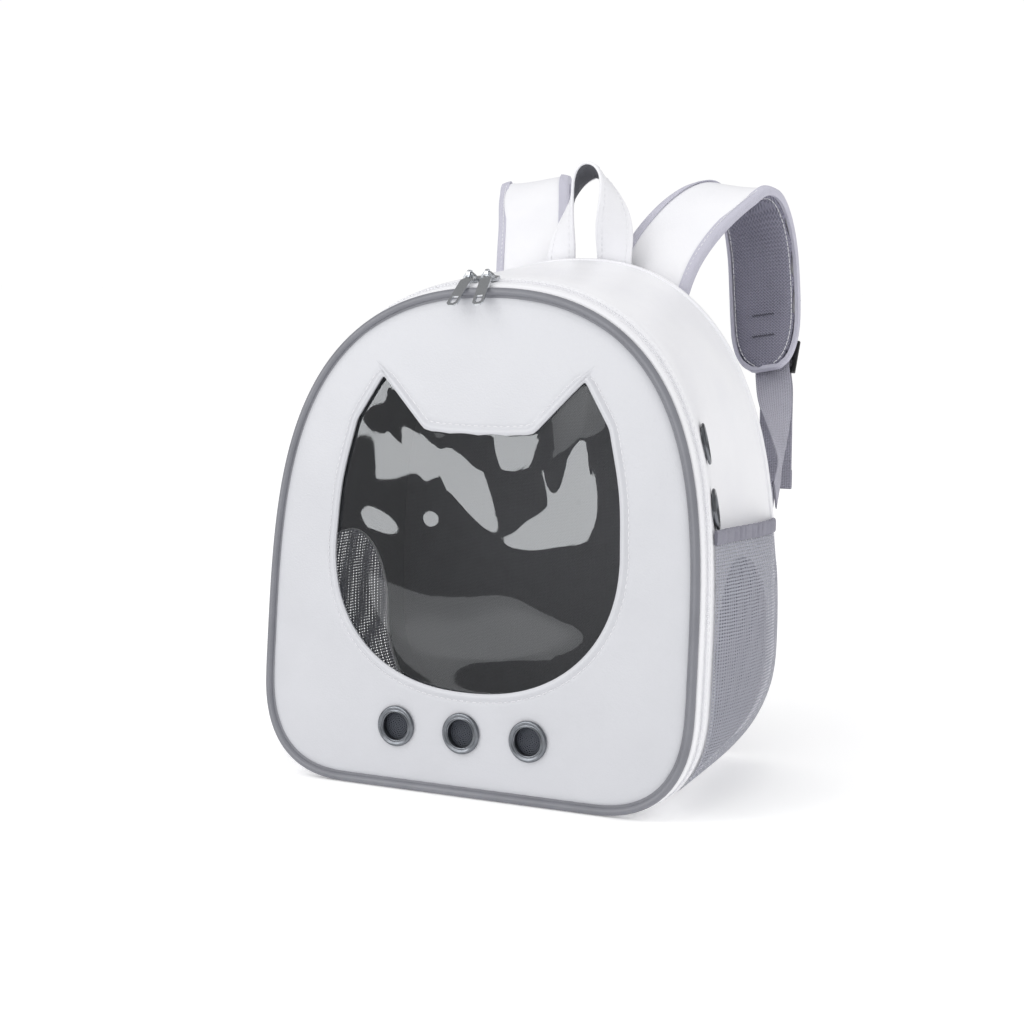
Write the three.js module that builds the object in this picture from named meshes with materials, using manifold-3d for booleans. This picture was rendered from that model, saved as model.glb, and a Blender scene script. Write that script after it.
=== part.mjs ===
// Bubble pet carrier backpack, in millimetres, +Z up.
// The origin is on the floor, under the middle of the base. The front faces -Y and the wearer's back +Y.
import * as THREE from 'three';
import { mergeVertices } from 'three/addons/utils/BufferGeometryUtils.js';
import Module from 'manifold-3d';

const wasm = await Module();
wasm.setup();

function grown(size, growth, shape) {
  const sizes = Object.keys(growth).map((key) => [key, size[key] + growth[key]]);
  return { ...size, ...Object.fromEntries(sizes), ...shape };
}

// Body
const BODY_DEPTH = 184; // front piping to the back pad's face, at the bottom
const FRONT_LEAN = THREE.MathUtils.degToRad(6.4); // the front leans back
const FRONT_OUTLINE = {
  halfWidth: 155.5, height: 329, widest: 72, flatHalf: 88, corner: 2.5, archX: 2.3, archZ: 3.5,
};
const FRAME_GROWTH = { halfWidth: 0.5, height: 7, widest: 1 }; // the strips' rear edge, against the front
const REAR_GROWTH = { halfWidth: -8.5, height: 15.5, widest: 10 }; // the rear edge, against the front
const FRAME_OUTLINE = grown(FRONT_OUTLINE, FRAME_GROWTH, { corner: 2.6, archZ: 3.4 });
const REAR_OUTLINE = grown(FRONT_OUTLINE, REAR_GROWTH, { corner: 1.8, archZ: 2.9 });
const FLAT_STEPS = 2;
const CORNER_STEPS = 6;
const ARCH_STEPS = 16;
const ARCH_SPREAD = 1.35; // evens out the arch's steps
const GAP = 0.3;
const SHELL_WALL = 2;
const LINING_WALL = 1;
const BACK_PAD_THICK = 5.5;
const MAT_THICK = 5;
const MAT_INSET = 3;

// How far the soft sides stand out (+) or dip in (-) between the front strips and the rear edge
const SIDE_SAG = [
  { at: 0, low: 0, shoulder: 0 },
  { at: 0.23, low: 1, shoulder: -9 },
  { at: 0.45, low: 2, shoulder: -8 },
  { at: 0.72, low: 3, shoulder: -4 },
  { at: 1, low: 0, shoulder: 0 },
];
const SHOULDER_MIDDLE = 215;
const SHOULDER_REACH = 95;
const LOW_REACH = 175;

// Strips behind the front piping, as depths behind the piping's centre
const PIPING_RADIUS = 2.5;
const PIPING_SIDES = 6;
const STRIP_WALL = 1.6;
const RIM_WIDTH = 7.2;
const ZIP_WIDTH = 4.4;
const ZIP_PROUD = 0.5;
const GUSSET_STRIP_WIDTH = 6.5;
const rimStart = PIPING_RADIUS + 0.4;
const zipStart = rimStart + RIM_WIDTH + GAP;
const gussetStripStart = zipStart + ZIP_WIDTH + GAP;
const bodyStart = gussetStripStart + GUSSET_STRIP_WIDTH + GAP;

// Front door
const PANEL_THICK = 2;
const DOME_RISE = 5;
const DOME_REACH = 32; // distance from the edge over which the dome rises
const WINDOW_THICK = 0.8;
const WINDOW_LAP = 7;
const EAR_TIP = { x: 72.5, h: 271 };
const EAR_BASE = { x: 36.8, h: 233.5 };
const HEAD_TOP = { halfWidth: 91, h: 241 };
const HEAD_WIDEST = { halfWidth: 102.8, h: 160 };
const HEAD_BOTTOM = 68;
const HEAD_CHIN = 2.25; // roundness of the chin
const HEAD_STEPS = 9;

// Eyelets: a rolled metal ring round a disc of mesh
const EYELET = { outer: 13.4, barrel: 10.2, bore: 9, roll: 1.7, seat: 0.5, sides: 20, disc: 0.8 };
const FRONT_EYELETS = [
  { name: 'front_left', x: -50, h: 41.5 },
  { name: 'front_middle', x: -2, h: 41.5 },
  { name: 'front_right', x: 46, h: 41.5 },
];
const SIDE_EYELETS = [
  { name: 'side_upper', behindStrips: 15, z: 229.5 },
  { name: 'side_lower', behindStrips: 15, z: 189 },
];
const SIDE_EYELET_LIFT = 0.6; // the side is rounded, so its eyelets stand a little proud

// Side mesh windows and pockets
const SIDE_WINDOW = { front: -50, rear: 66, bottom: 26, shoulder: 92, top: 153, steps: 10 };
const SIDE_MESH_THICK = 0.8;
const POCKET = {
  topFront: 169, topRear: 161, clear: 0.5, bulge: 12, mouthBulge: 8.5, thick: 1.2, firstRow: 2, lastRow: 8,
};
const POCKET_SHARES = [0.02, 0.12, 0.23, 0.34, 0.45, 0.585, 0.72, 0.86, 0.985]; // of the soft body's depth
const BINDING_HEIGHT = 9;
const BINDING_THICK = 2;

// Carry handle: a folded band, flat at its feet and turned edgewise at the top.
// rise is the height over the top of the back.
const HANDLE_THICK = 3;
const HANDLE_SECTIONS = [
  { x: -19, rise: -38.5, width: 20, turn: 0 },
  { x: -18.6, rise: -0.5, width: 20, turn: 0 },
  { x: -13.5, rise: 27.5, width: 21, turn: -45 },
  { x: -6.5, rise: 49.5, width: 22, turn: -80 },
  { x: 0.5, rise: 60, width: 22, turn: -108 },
  { x: 7, rise: 62, width: 22, turn: -116 },
  { x: 14, rise: 56.5, width: 22, turn: -104 },
  { x: 19.4, rise: 42.5, width: 23, turn: -75 },
  { x: 22.2, rise: 23.5, width: 24, turn: -35 },
  { x: 22.8, rise: -0.5, width: 24, turn: 0 },
  { x: 22.8, rise: -38.5, width: 24, turn: 0 },
];

// Shoulder straps: the right one, from its seam on the back panel over the crest to its round end.
// back is the distance behind the back panel, rise the height over its top,
// and droop lowers the outer edge, in degrees.
const STRAP_PAD_THICK = 6.5;
const STRAP_COVER_THICK = 1.2;
const STRAP_SECTIONS = [
  { x: 42, back: -3.8, rise: -60.5, width: 57, droop: 5 },
  { x: 43, back: 0.4, rise: -41.5, width: 57, droop: 6 },
  { x: 45.5, back: 4, rise: -21.5, width: 56, droop: 8 },
  { x: 51, back: 16, rise: 1.5, width: 55, droop: 10 },
  { x: 60, back: 36, rise: 22.5, width: 54, droop: 10 },
  { x: 70.5, back: 57, rise: 37.5, width: 53, droop: 9 },
  { x: 78.5, back: 75, rise: 43.5, width: 52, droop: 8 },
  { x: 85, back: 87, rise: 39.5, width: 51, droop: 8 },
  { x: 89.5, back: 94, rise: 25.5, width: 50, droop: 7 },
  { x: 93.5, back: 95, rise: 5.5, width: 50, droop: 6 },
  { x: 97, back: 91, rise: -17.5, width: 50, droop: 5 },
  { x: 101, back: 83, rise: -40.5, width: 49, droop: 4 },
  { x: 104.5, back: 74, rise: -57.5, width: 45, droop: 3 },
  { x: 107.5, back: 67, rise: -69.5, width: 35, droop: 2 },
  { x: 109, back: 63.5, rise: -76, width: 20, droop: 0 },
];
const LEFT_STRAP_LIFT = 6; // the left strap's crest stands higher than the right one's

// Webbing, ladder lock and anchor tab of the right strap
const WEBBING_WIDTH = 25;
const WEBBING_THICK = 1.4;
const WEBBING_SLACK = 0.6; // off the bars that it wraps
const LOCK = { width: 33, slot: 26.5, bar: 4, thick: 3.6, window: 6.2 };
const LOCK_PLACE = { x: 110, back: 86, rise: -70.5, tilt: 27 };
const LOCK_TAB_LENGTH = 34;
const ANCHOR = { z: 181, base: 26, reach: 17, rise: 11, thick: 2.4, inset: 2.5, sink: 1 };
const FREE_END_Z = 178;

// Zip sliders, each with its pull on a bridge
const SLIDER_PLACES = [
  { name: 'left', x: -18.4, skew: 0 },
  { name: 'right', x: -5.4, skew: 10 },
];
const SLIDER = {
  length: 11.6, width: 8.6, thick: 1.8, bridgeSpan: 9.4, bridgeRise: 4.6, bar: 1.8, barWide: 2, barForward: 3,
};
const PULL = {
  length: 33, width: 7.6, thick: 1.2, eyeWide: 2.2, eyeOuter: 2.75, eyeBore: 1.65, neck: 4.5, slot: 4, slotLength: 7,
};
const PULL_HANG = THREE.MathUtils.degToRad(37); // below the horizontal, resting over the piping

// Colours
const WHITE = '#f2f2f5';
const PANEL_WHITE = '#e6e7ea';
const PIPING_GREY = '#8b8c92';
const LINING_GREY = '#4a4b50';
const MESH_GREY = '#a9aab4';
const WEBBING_GREY = '#b2b1bd';
const STEEL = '#b9bbbd';
const BLACK = '#17171a';
const CLEAR = '#dfe6ea';

const part = new THREE.Group();
const door = new THREE.Group();
const body = new THREE.Group();
const carrying = new THREE.Group();
part.add(door, body, carrying);

function finish(color, roughness, metalness = 0) {
  return new THREE.MeshStandardMaterial({ color, roughness, metalness });
}

function addPiece(group, name, geometry, material) {
  const mesh = new THREE.Mesh(geometry, material);
  mesh.name = name;
  group.add(mesh);
  return mesh;
}

// Solids

function signedVolume(positions, triangles) {
  const a = new THREE.Vector3();
  const b = new THREE.Vector3();
  const c = new THREE.Vector3();
  let sum = 0;
  for (let t = 0; t < triangles.length; t += 3) {
    a.copy(positions[triangles[t]]);
    b.copy(positions[triangles[t + 1]]);
    c.copy(positions[triangles[t + 2]]);
    sum += a.dot(b.cross(c));
  }
  return sum / 6;
}

function solidGeometry(positions, triangles) {
  const outward = signedVolume(positions, triangles) > 0;
  const index = [];
  for (let t = 0; t < triangles.length; t += 3) {
    const [i, j, k] = [triangles[t], triangles[t + 1], triangles[t + 2]];
    index.push(i, ...(outward ? [j, k] : [k, j]));
  }
  const geometry = new THREE.BufferGeometry().setFromPoints(positions);
  geometry.setIndex(index);
  return geometry;
}

// A solid through sections with the same number of corners, closed on itself or capped at its ends.
// The first half of a section's corners lies against the second half, so both halves are split alike.
function loft(sections, closed = false) {
  const corners = sections[0].length;
  const positions = sections.flat();
  const triangles = [];
  const spans = closed ? sections.length : sections.length - 1;
  for (let s = 0; s < spans; s += 1) {
    const here = s * corners;
    const next = ((s + 1) % sections.length) * corners;
    for (let c = 0; c < corners; c += 1) {
      const d = (c + 1) % corners;
      const alike = c < corners / 2 ? [here + c, next + d] : [here + d, next + c];
      triangles.push(here + c, here + d, alike[1], next + d, next + c, alike[0]);
    }
  }
  if (!closed) {
    const last = (sections.length - 1) * corners;
    for (let c = 0; c < corners / 2 - 1; c += 1) {
      const m = corners - 1 - c;
      triangles.push(c, m, m - 1, c, m - 1, c + 1);
      triangles.push(last + c, last + c + 1, last + m - 1, last + c, last + m - 1, last + m);
    }
  }
  return solidGeometry(positions, triangles);
}

// A plate whose two faces run through rings of points that shrink to a middle point
function plate(ringsOf, middleOf) {
  const positions = [];
  const triangles = [];
  const faces = ['front', 'rear'].map((face) => {
    const rings = ringsOf(face);
    const start = positions.length;
    positions.push(...rings.flat(), middleOf(face));
    return { start, count: rings[0].length, rings: rings.length, middle: positions.length - 1 };
  });
  faces.forEach(({ start, count, rings, middle }, face) => {
    const push = (a, b, c) => triangles.push(...(face === 0 ? [a, b, c] : [a, c, b]));
    for (let i = 0; i < count; i += 1) {
      const j = (i + 1) % count;
      for (let r = 0; r < rings - 1; r += 1) {
        const outer = start + r * count;
        const inner = outer + count;
        push(outer + i, outer + j, inner + j);
        push(outer + i, inner + j, inner + i);
      }
      const inner = start + (rings - 1) * count;
      push(inner + i, inner + j, middle);
    }
  });
  const [front, rear] = faces;
  for (let i = 0; i < front.count; i += 1) {
    const j = (i + 1) % front.count;
    triangles.push(front.start + i, rear.start + i, rear.start + j);
    triangles.push(front.start + i, rear.start + j, front.start + j);
  }
  return solidGeometry(positions, triangles);
}

// A sheet with thickness: a grid of points on one side and its partner on the other
function sheet(rows, columns, pointAt) {
  const sections = [];
  for (let r = 0; r <= rows; r += 1) {
    const section = [];
    for (let c = 0; c <= columns; c += 1) section.push(pointAt(r / rows, c / columns, 0));
    for (let c = columns; c >= 0; c -= 1) section.push(pointAt(r / rows, c / columns, 1));
    sections.push(section);
  }
  return loft(sections);
}

function toManifold(geometry) {
  const bare = geometry.clone();
  bare.deleteAttribute('normal');
  bare.deleteAttribute('uv');
  const merged = mergeVertices(bare, 1e-4);
  const vertProperties = new Float32Array(merged.attributes.position.array);
  const triVerts = new Uint32Array(merged.index.array);
  return new wasm.Manifold(new wasm.Mesh({ numProp: 3, vertProperties, triVerts }));
}

function fromManifold(solid) {
  const mesh = solid.getMesh();
  const geometry = new THREE.BufferGeometry();
  geometry.setAttribute('position', new THREE.BufferAttribute(new Float32Array(mesh.vertProperties), 3));
  geometry.setIndex(new THREE.BufferAttribute(new Uint32Array(mesh.triVerts), 1));
  return geometry;
}

function cut(geometry, tools) {
  return fromManifold(tools.reduce((solid, tool) => solid.subtract(toManifold(tool)), toManifold(geometry)));
}

function join(...geometries) {
  return fromManifold(geometries.map(toManifold).reduce((a, b) => a.add(b)));
}

function mirrored(geometry) {
  const copy = geometry.clone();
  copy.scale(-1, 1, 1);
  const index = Array.from(copy.index.array);
  for (let t = 0; t < index.length; t += 3) [index[t + 1], index[t + 2]] = [index[t + 2], index[t + 1]];
  copy.setIndex(index);
  return copy;
}

function extrude(points, depth) {
  const shape = new THREE.Shape(points.map(([x, y]) => new THREE.Vector2(x, y)));
  return new THREE.ExtrudeGeometry(shape, { depth, bevelEnabled: false });
}

// Outline of the body, as points round a loop from the bottom middle, up the right side and down the left

function halfOutline({ halfWidth, height, widest, flatHalf, corner, archX, archZ }) {
  const points = [];
  for (let i = 0; i < FLAT_STEPS; i += 1) points.push([(flatHalf * i) / FLAT_STEPS, 0]);
  for (let i = 0; i < CORNER_STEPS; i += 1) {
    const angle = (Math.PI / 2) * (i / CORNER_STEPS);
    const across = Math.sin(angle) ** (2 / corner);
    const down = Math.cos(angle) ** (2 / corner);
    points.push([flatHalf + (halfWidth - flatHalf) * across, widest * (1 - down)]);
  }
  for (let i = 0; i <= ARCH_STEPS; i += 1) {
    const angle = (Math.PI / 2) * (i / ARCH_STEPS) ** ARCH_SPREAD;
    const across = Math.cos(angle) ** (2 / archX);
    const above = Math.sin(angle) ** (2 / archZ);
    points.push([halfWidth * across, widest + (height - widest) * above]);
  }
  points[points.length - 1][0] = 0;
  return points;
}

function outline(size) {
  const right = halfOutline(size);
  const left = right.slice(1, -1).reverse().map(([x, h]) => [-x, h]);
  return [...right, ...left];
}

function blendSizes(a, b, share) {
  return Object.fromEntries(Object.keys(a).map((key) => [key, a[key] + (b[key] - a[key]) * share]));
}

// Outward normals of a closed loop of points
function loopNormals(points) {
  return points.map((_, i) => {
    const before = points[(i + points.length - 1) % points.length];
    const after = points[(i + 1) % points.length];
    const length = Math.hypot(after[0] - before[0], after[1] - before[1]);
    return [(after[1] - before[1]) / length, -(after[0] - before[0]) / length];
  });
}

function inset(points, distance) {
  const normals = loopNormals(points);
  return points.map(([x, h], i) => [x - normals[i][0] * distance, h - normals[i][1] * distance]);
}

const LOOP_COUNT = outline(FRONT_OUTLINE).length;
const FLAT_END = FLAT_STEPS; // index of the right end of the flat bottom
const FLAT_RESTART = LOOP_COUNT - FLAT_STEPS; // index of its left end
const halfDepth = BODY_DEPTH / 2;
const bodyEnd = halfDepth - BACK_PAD_THICK - GAP;

// A point of the leaning front plane, moved back by depth
function onFront([x, h], depth) {
  return new THREE.Vector3(x, -halfDepth + depth + h * Math.sin(FRONT_LEAN), h * Math.cos(FRONT_LEAN));
}

const frontNormal = new THREE.Vector3(0, -Math.cos(FRONT_LEAN), Math.sin(FRONT_LEAN));

// A point of the same plane, stood off square to it
function onPanel(point, standOff) {
  return onFront(point, 0).addScaledVector(frontNormal, standOff);
}

// The loop at a depth behind the front plane, for the strips
function frontLoop(depth, insetBy) {
  const size = blendSizes(FRONT_OUTLINE, FRAME_OUTLINE, depth / bodyStart);
  return inset(outline(size), insetBy).map((point) => onFront(point, depth));
}

function sagAt(share, height) {
  let row = 0;
  while (row < SIDE_SAG.length - 2 && SIDE_SAG[row + 1].at < share) row += 1;
  const [a, b] = [SIDE_SAG[row], SIDE_SAG[row + 1]];
  const t = THREE.MathUtils.clamp((share - a.at) / (b.at - a.at), 0, 1);
  const shoulder = Math.max(0, 1 - Math.abs(height - SHOULDER_MIDDLE) / SHOULDER_REACH);
  const low = Math.sin(Math.PI * THREE.MathUtils.clamp(height / LOW_REACH, 0, 1));
  const smoothShoulder = shoulder * shoulder * (3 - 2 * shoulder);
  const lowSag = a.low + (b.low - a.low) * t;
  const shoulderSag = a.shoulder + (b.shoulder - a.shoulder) * t;
  return lowSag * low + shoulderSag * smoothShoulder;
}

// The loop of the soft body, share 0 behind the strips and 1 at the rear edge; rearTrim shortens it there
function bodyLoop(share, insetBy, rearTrim = 0) {
  const [front, rear] = [outline(FRAME_OUTLINE), outline(REAR_OUTLINE)];
  const [start, end] = [inset(front, insetBy), inset(rear, insetBy)];
  return start.map((point, i) => {
    const last = new THREE.Vector3(end[i][0], bodyEnd - rearTrim, end[i][1]);
    const place = onFront(point, bodyStart).lerp(last, share);
    const skinHeight = front[i][1] + (rear[i][1] - front[i][1]) * share;
    place.x += Math.sign(place.x) * sagAt(share, skinHeight);
    return place;
  });
}

const stripSections = (start, width, outer, wall) => {
  const loops = [
    frontLoop(start, outer),
    frontLoop(start + width, outer),
    frontLoop(start + width, outer + wall),
    frontLoop(start, outer + wall),
  ];
  return loops[0].map((_, i) => loops.map((loop) => loop[i]));
};

const shares = SIDE_SAG.map(({ at }) => at);

// Sections of a wall that follows the body, between two insets
function wallSections(outer, wall, rearTrim = 0) {
  const loops = [
    ...shares.map((share) => bodyLoop(share, outer, rearTrim)),
    ...shares.slice().reverse().map((share) => bodyLoop(share, outer + wall, rearTrim)),
  ];
  return loops[0].map((_, i) => loops.map((loop) => loop[i]));
}

// Front door

const pipingInset = PIPING_RADIUS;
const panelInset = 2 * PIPING_RADIUS + GAP;
const panelOutline = inset(outline(FRONT_OUTLINE), panelInset);
const panelMiddle = [0, FRONT_OUTLINE.height / 2];

function edgeDistance([x, h]) {
  let nearest = Infinity;
  panelOutline.forEach(([ax, ah], i) => {
    const [bx, bh] = panelOutline[(i + 1) % panelOutline.length];
    const [ex, eh] = [bx - ax, bh - ah];
    const t = THREE.MathUtils.clamp(((x - ax) * ex + (h - ah) * eh) / (ex * ex + eh * eh), 0, 1);
    nearest = Math.min(nearest, Math.hypot(x - ax - ex * t, h - ah - eh * t));
  });
  return nearest;
}

function domeAt(point) {
  return DOME_RISE * (1 - Math.exp(-edgeDistance(point) / DOME_REACH));
}

// A plate parallel to the domed panel, between two depths behind the panel's front face
function domedPlate(loop, middle, shrinks, frontDepth, rearDepth) {
  const place = (point, face) => {
    const depth = face === 'front' ? frontDepth : rearDepth;
    return onPanel(point, PANEL_THICK / 2 + domeAt(point) - depth);
  };
  const shrunk = (share) => loop.map(([x, h]) => [
    middle[0] + (x - middle[0]) * share,
    middle[1] + (h - middle[1]) * share,
  ]);
  return plate((face) => shrinks.map((share) => shrunk(share).map((point) => place(point, face))),
    (face) => place(middle, face));
}

// The cat head: two pointed ears over a round face
function headOutline() {
  const right = [[EAR_BASE.x, EAR_BASE.h], [EAR_TIP.x, EAR_TIP.h], [HEAD_TOP.halfWidth, HEAD_TOP.h]];
  const face = HEAD_WIDEST.h - HEAD_BOTTOM;
  const rise = (HEAD_TOP.h - HEAD_WIDEST.h) / 2;
  right.push([(HEAD_TOP.halfWidth + 3 * HEAD_WIDEST.halfWidth) / 4, HEAD_WIDEST.h + rise]);
  for (let i = 0; i <= HEAD_STEPS; i += 1) {
    const angle = (Math.PI / 2) * (i / HEAD_STEPS);
    const across = Math.cos(angle) ** (2 / HEAD_CHIN);
    const down = Math.sin(angle) ** (2 / HEAD_CHIN);
    right.push([HEAD_WIDEST.halfWidth * across, HEAD_WIDEST.h - face * down]);
  }
  right[right.length - 1][0] = 0;
  const left = right.slice(0, -1).reverse().map(([x, h]) => [-x, h]);
  return [...right, ...left].reverse();
}

// A prism square to the front plane, from an outline in its coordinates
function frontPrism(points, reach = 30) {
  const prism = extrude(points, 2 * reach);
  const frame = new THREE.Matrix4().makeBasis(
    new THREE.Vector3(1, 0, 0),
    new THREE.Vector3(0, Math.sin(FRONT_LEAN), Math.cos(FRONT_LEAN)),
    frontNormal,
  );
  frame.setPosition(onPanel([0, 0], -reach));
  prism.applyMatrix4(frame);
  return prism;
}

function circlePoints(x, y, radius, sides) {
  return Array.from({ length: sides }, (_, i) => {
    const angle = (2 * Math.PI * i) / sides;
    return [x + radius * Math.cos(angle), y + radius * Math.sin(angle)];
  });
}

const eyeletHole = EYELET.barrel + GAP + 0.1;

function frontPanel() {
  const solid = domedPlate(panelOutline, panelMiddle, [1, 0.96, 0.9, 0.82, 0.7, 0.5], 0, PANEL_THICK);
  const tools = [frontPrism(headOutline())];
  FRONT_EYELETS.forEach(({ x, h }) => tools.push(frontPrism(circlePoints(x, h, eyeletHole, EYELET.sides))));
  return cut(solid, tools);
}

function frontWindow() {
  const middle = [0, HEAD_WIDEST.h];
  const loop = inset(headOutline(), -WINDOW_LAP);
  const front = PANEL_THICK + GAP;
  return domedPlate(loop, middle, [1, 0.66, 0.33], front, front + WINDOW_THICK);
}

function frontPiping() {
  const centres = inset(outline(FRONT_OUTLINE), pipingInset);
  const normals = loopNormals(centres);
  const sections = centres.map(([x, h], i) => circlePoints(0, 0, PIPING_RADIUS, PIPING_SIDES).map(([out, back]) => (
    onFront([x + normals[i][0] * out, h + normals[i][1] * out], back)
  )));
  return loft(sections, true);
}

// Eyelets

// Ring profile turned about its axis: the barrel goes down through the wall, the roll lies on top
function eyeletRing(wall) {
  const { outer, barrel, bore, roll, seat, sides } = EYELET;
  const profile = [
    [bore, -wall - GAP],
    [barrel, -wall - GAP],
    [barrel, seat],
    [outer - 0.6, seat],
    [outer, seat + roll * 0.5],
    [(outer + barrel) / 2 + 0.4, seat + roll],
    [barrel, seat + roll * 0.62],
    [(barrel + bore) / 2, seat + roll],
    [bore, seat + roll * 0.5],
    [bore, -wall - GAP],
  ];
  const lathe = new THREE.LatheGeometry(profile.map(([x, y]) => new THREE.Vector2(x, y)), sides);
  return fromManifold(toManifold(lathe));
}

function eyeletDisc(wall) {
  const top = -wall - 2 * GAP;
  const disc = new THREE.CylinderGeometry(EYELET.barrel, EYELET.barrel, EYELET.disc, EYELET.sides);
  disc.translate(0, top - EYELET.disc / 2, 0);
  return fromManifold(toManifold(disc));
}

// Turns +Y of a lathe to a direction and moves it to a place
function aim(geometry, place, direction) {
  const turn = new THREE.Quaternion().setFromUnitVectors(new THREE.Vector3(0, 1, 0), direction);
  geometry.applyMatrix4(new THREE.Matrix4().compose(place, turn, new THREE.Vector3(1, 1, 1)));
  return geometry;
}

const metal = finish('#6f7276', 0.32, 0.9);
const ventMesh = finish('#3d4048', 0.8);

function addEyelet(group, name, place, direction, wall) {
  addPiece(group, `vent_ring_${name}`, aim(eyeletRing(wall), place, direction), metal);
  addPiece(group, `vent_mesh_${name}`, aim(eyeletDisc(wall), place, direction), ventMesh);
}

function domeNormal(x, h) {
  const step = 1;
  const slopeX = (domeAt([x + step, h]) - domeAt([x - step, h])) / (2 * step);
  const slopeH = (domeAt([x, h + step]) - domeAt([x, h - step])) / (2 * step);
  const across = new THREE.Vector3(1, 0, 0);
  const up = new THREE.Vector3(0, Math.sin(FRONT_LEAN), Math.cos(FRONT_LEAN));
  return frontNormal.clone().addScaledVector(across, -slopeX).addScaledVector(up, -slopeH).normalize();
}

// Side of the body

// A point of the right side at a share of the body's depth and a height, stood off by a distance
function sidePoint(share, height, standOff) {
  const loop = bodyLoop(share, -standOff);
  let i = FLAT_END;
  while (loop[i + 1].z < height && i < FLAT_END + CORNER_STEPS + ARCH_STEPS - 1) i += 1;
  const t = THREE.MathUtils.clamp((height - loop[i].z) / (loop[i + 1].z - loop[i].z), 0, 1);
  return loop[i].clone().lerp(loop[i + 1], t);
}

function sideNormal(share, height) {
  const step = 0.02;
  const rise = 2;
  const along = sidePoint(share + step, height, 0).sub(sidePoint(share - step, height, 0));
  const up = sidePoint(share, height + rise, 0).sub(sidePoint(share, height - rise, 0));
  return along.cross(up).normalize();
}

function shareAtDepth(height, behindStrips) {
  const start = sidePoint(0, height, 0).y;
  const end = sidePoint(1, height, 0).y;
  return behindStrips / (end - start);
}

function sideWindowPoints(grow) {
  const { front, rear, bottom, shoulder, top, steps } = SIDE_WINDOW;
  const middle = (front + rear) / 2;
  const half = (rear - front) / 2 + grow;
  const points = [[middle - half, bottom - grow], [middle + half, bottom - grow]];
  for (let i = 0; i <= steps; i += 1) {
    const angle = (Math.PI * i) / steps;
    points.push([middle + half * Math.cos(angle), shoulder + (top + grow - shoulder) * Math.sin(angle)]);
  }
  return points;
}

// A prism along X over the right side of the body, from an outline in Y and Z
function sidePrism(points) {
  const inner = REAR_OUTLINE.halfWidth / 2;
  const prism = extrude(points, REAR_OUTLINE.halfWidth);
  const frame = new THREE.Matrix4().makeBasis(
    new THREE.Vector3(0, 1, 0),
    new THREE.Vector3(0, 0, 1),
    new THREE.Vector3(1, 0, 0),
  );
  frame.setPosition(inner, 0, 0);
  prism.applyMatrix4(frame);
  return prism;
}

function bothSides(tool) {
  return [tool, mirrored(fromManifold(toManifold(tool)))];
}

const sideEyelets = SIDE_EYELETS.map(({ name, behindStrips, z }) => {
  const share = shareAtDepth(z, behindStrips);
  const normal = sideNormal(share, z);
  return { name, place: sidePoint(share, z, 0).addScaledVector(normal, SIDE_EYELET_LIFT), normal };
});

function sideBores(radius) {
  return sideEyelets.flatMap(({ place, normal }) => {
    const bore = new THREE.CylinderGeometry(radius, radius, 24, EYELET.sides);
    return bothSides(aim(bore, place, normal));
  });
}

function bodyGusset() {
  const wall = loft(wallSections(0, SHELL_WALL).slice(FLAT_END, FLAT_RESTART + 1));
  return cut(wall, [...bothSides(sidePrism(sideWindowPoints(0))), ...sideBores(eyeletHole)]);
}

function liningGusset() {
  const trim = LINING_WALL + 2 * GAP;
  const sections = wallSections(SHELL_WALL + GAP, LINING_WALL, trim).slice(FLAT_END, FLAT_RESTART + 1);
  return cut(loft(sections), [...bothSides(sidePrism(sideWindowPoints(1))), ...sideBores(EYELET.barrel + 1.5)]);
}

// Cloth that the door folds on, between the two ends of the zip
function doorHinge() {
  const half = FRONT_OUTLINE.flatHalf - GAP;
  return new THREE.BoxGeometry(2 * half, ZIP_WIDTH, STRIP_WALL)
    .translate(0, -halfDepth + zipStart + ZIP_WIDTH / 2, STRIP_WALL / 2);
}

// The flat bottom lies between the two ends of the gusset
function basePanel() {
  const half = FRONT_OUTLINE.flatHalf - GAP;
  const front = -halfDepth + bodyStart;
  return new THREE.BoxGeometry(2 * half, bodyEnd - front, SHELL_WALL)
    .translate(0, (bodyEnd + front) / 2, SHELL_WALL / 2);
}

function rearPlate(insetBy, start, thick, pillow) {
  const loop = inset(outline(REAR_OUTLINE), insetBy);
  const middle = [0, REAR_OUTLINE.height / 2];
  const place = ([x, h], y) => new THREE.Vector3(x, y, h);
  const ringAt = (share) => loop.map(([x, h]) => [x * share, middle[1] + (h - middle[1]) * share]);
  const rings = [{ share: 1, proud: 0 }, { share: 0.93, proud: 1 }, { share: 0.5, proud: 1 }];
  return plate(
    (face) => rings.map(({ share, proud }) => {
      const y = face === 'front' ? start : start + thick + pillow * proud;
      return ringAt(share).map((point) => place(point, y));
    }),
    (face) => place(middle, face === 'front' ? start : start + thick + pillow),
  );
}

const backFace = halfDepth;
const backPanelEdge = BACK_PAD_THICK / 2;

// The mat lies on the lining and keeps clear of its rounded corners
function floorMat() {
  const half = FRONT_OUTLINE.flatHalf - MAT_INSET;
  const front = -halfDepth + bodyStart + MAT_INSET;
  const rear = bodyEnd - 2 * (LINING_WALL + GAP) - MAT_INSET;
  return new THREE.BoxGeometry(2 * half, rear - front, MAT_THICK)
    .translate(0, (rear + front) / 2, SHELL_WALL + GAP + MAT_THICK / 2);
}

// Mesh sheet inside the side window's edge
function sideMesh() {
  const depthIn = (SHELL_WALL - SIDE_MESH_THICK) / 2;
  const sections = wallSections(depthIn, SIDE_MESH_THICK).slice(FLAT_END, FLAT_END + CORNER_STEPS + ARCH_STEPS);
  const window = toManifold(sidePrism(sideWindowPoints(-GAP)));
  return fromManifold(toManifold(loft(sections)).intersect(window));
}

// Pocket: stands off the side in the middle and meets it at the front, rear and bottom.
// Its rows run along the same lines as the body's, so that the two don't cross.

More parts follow.
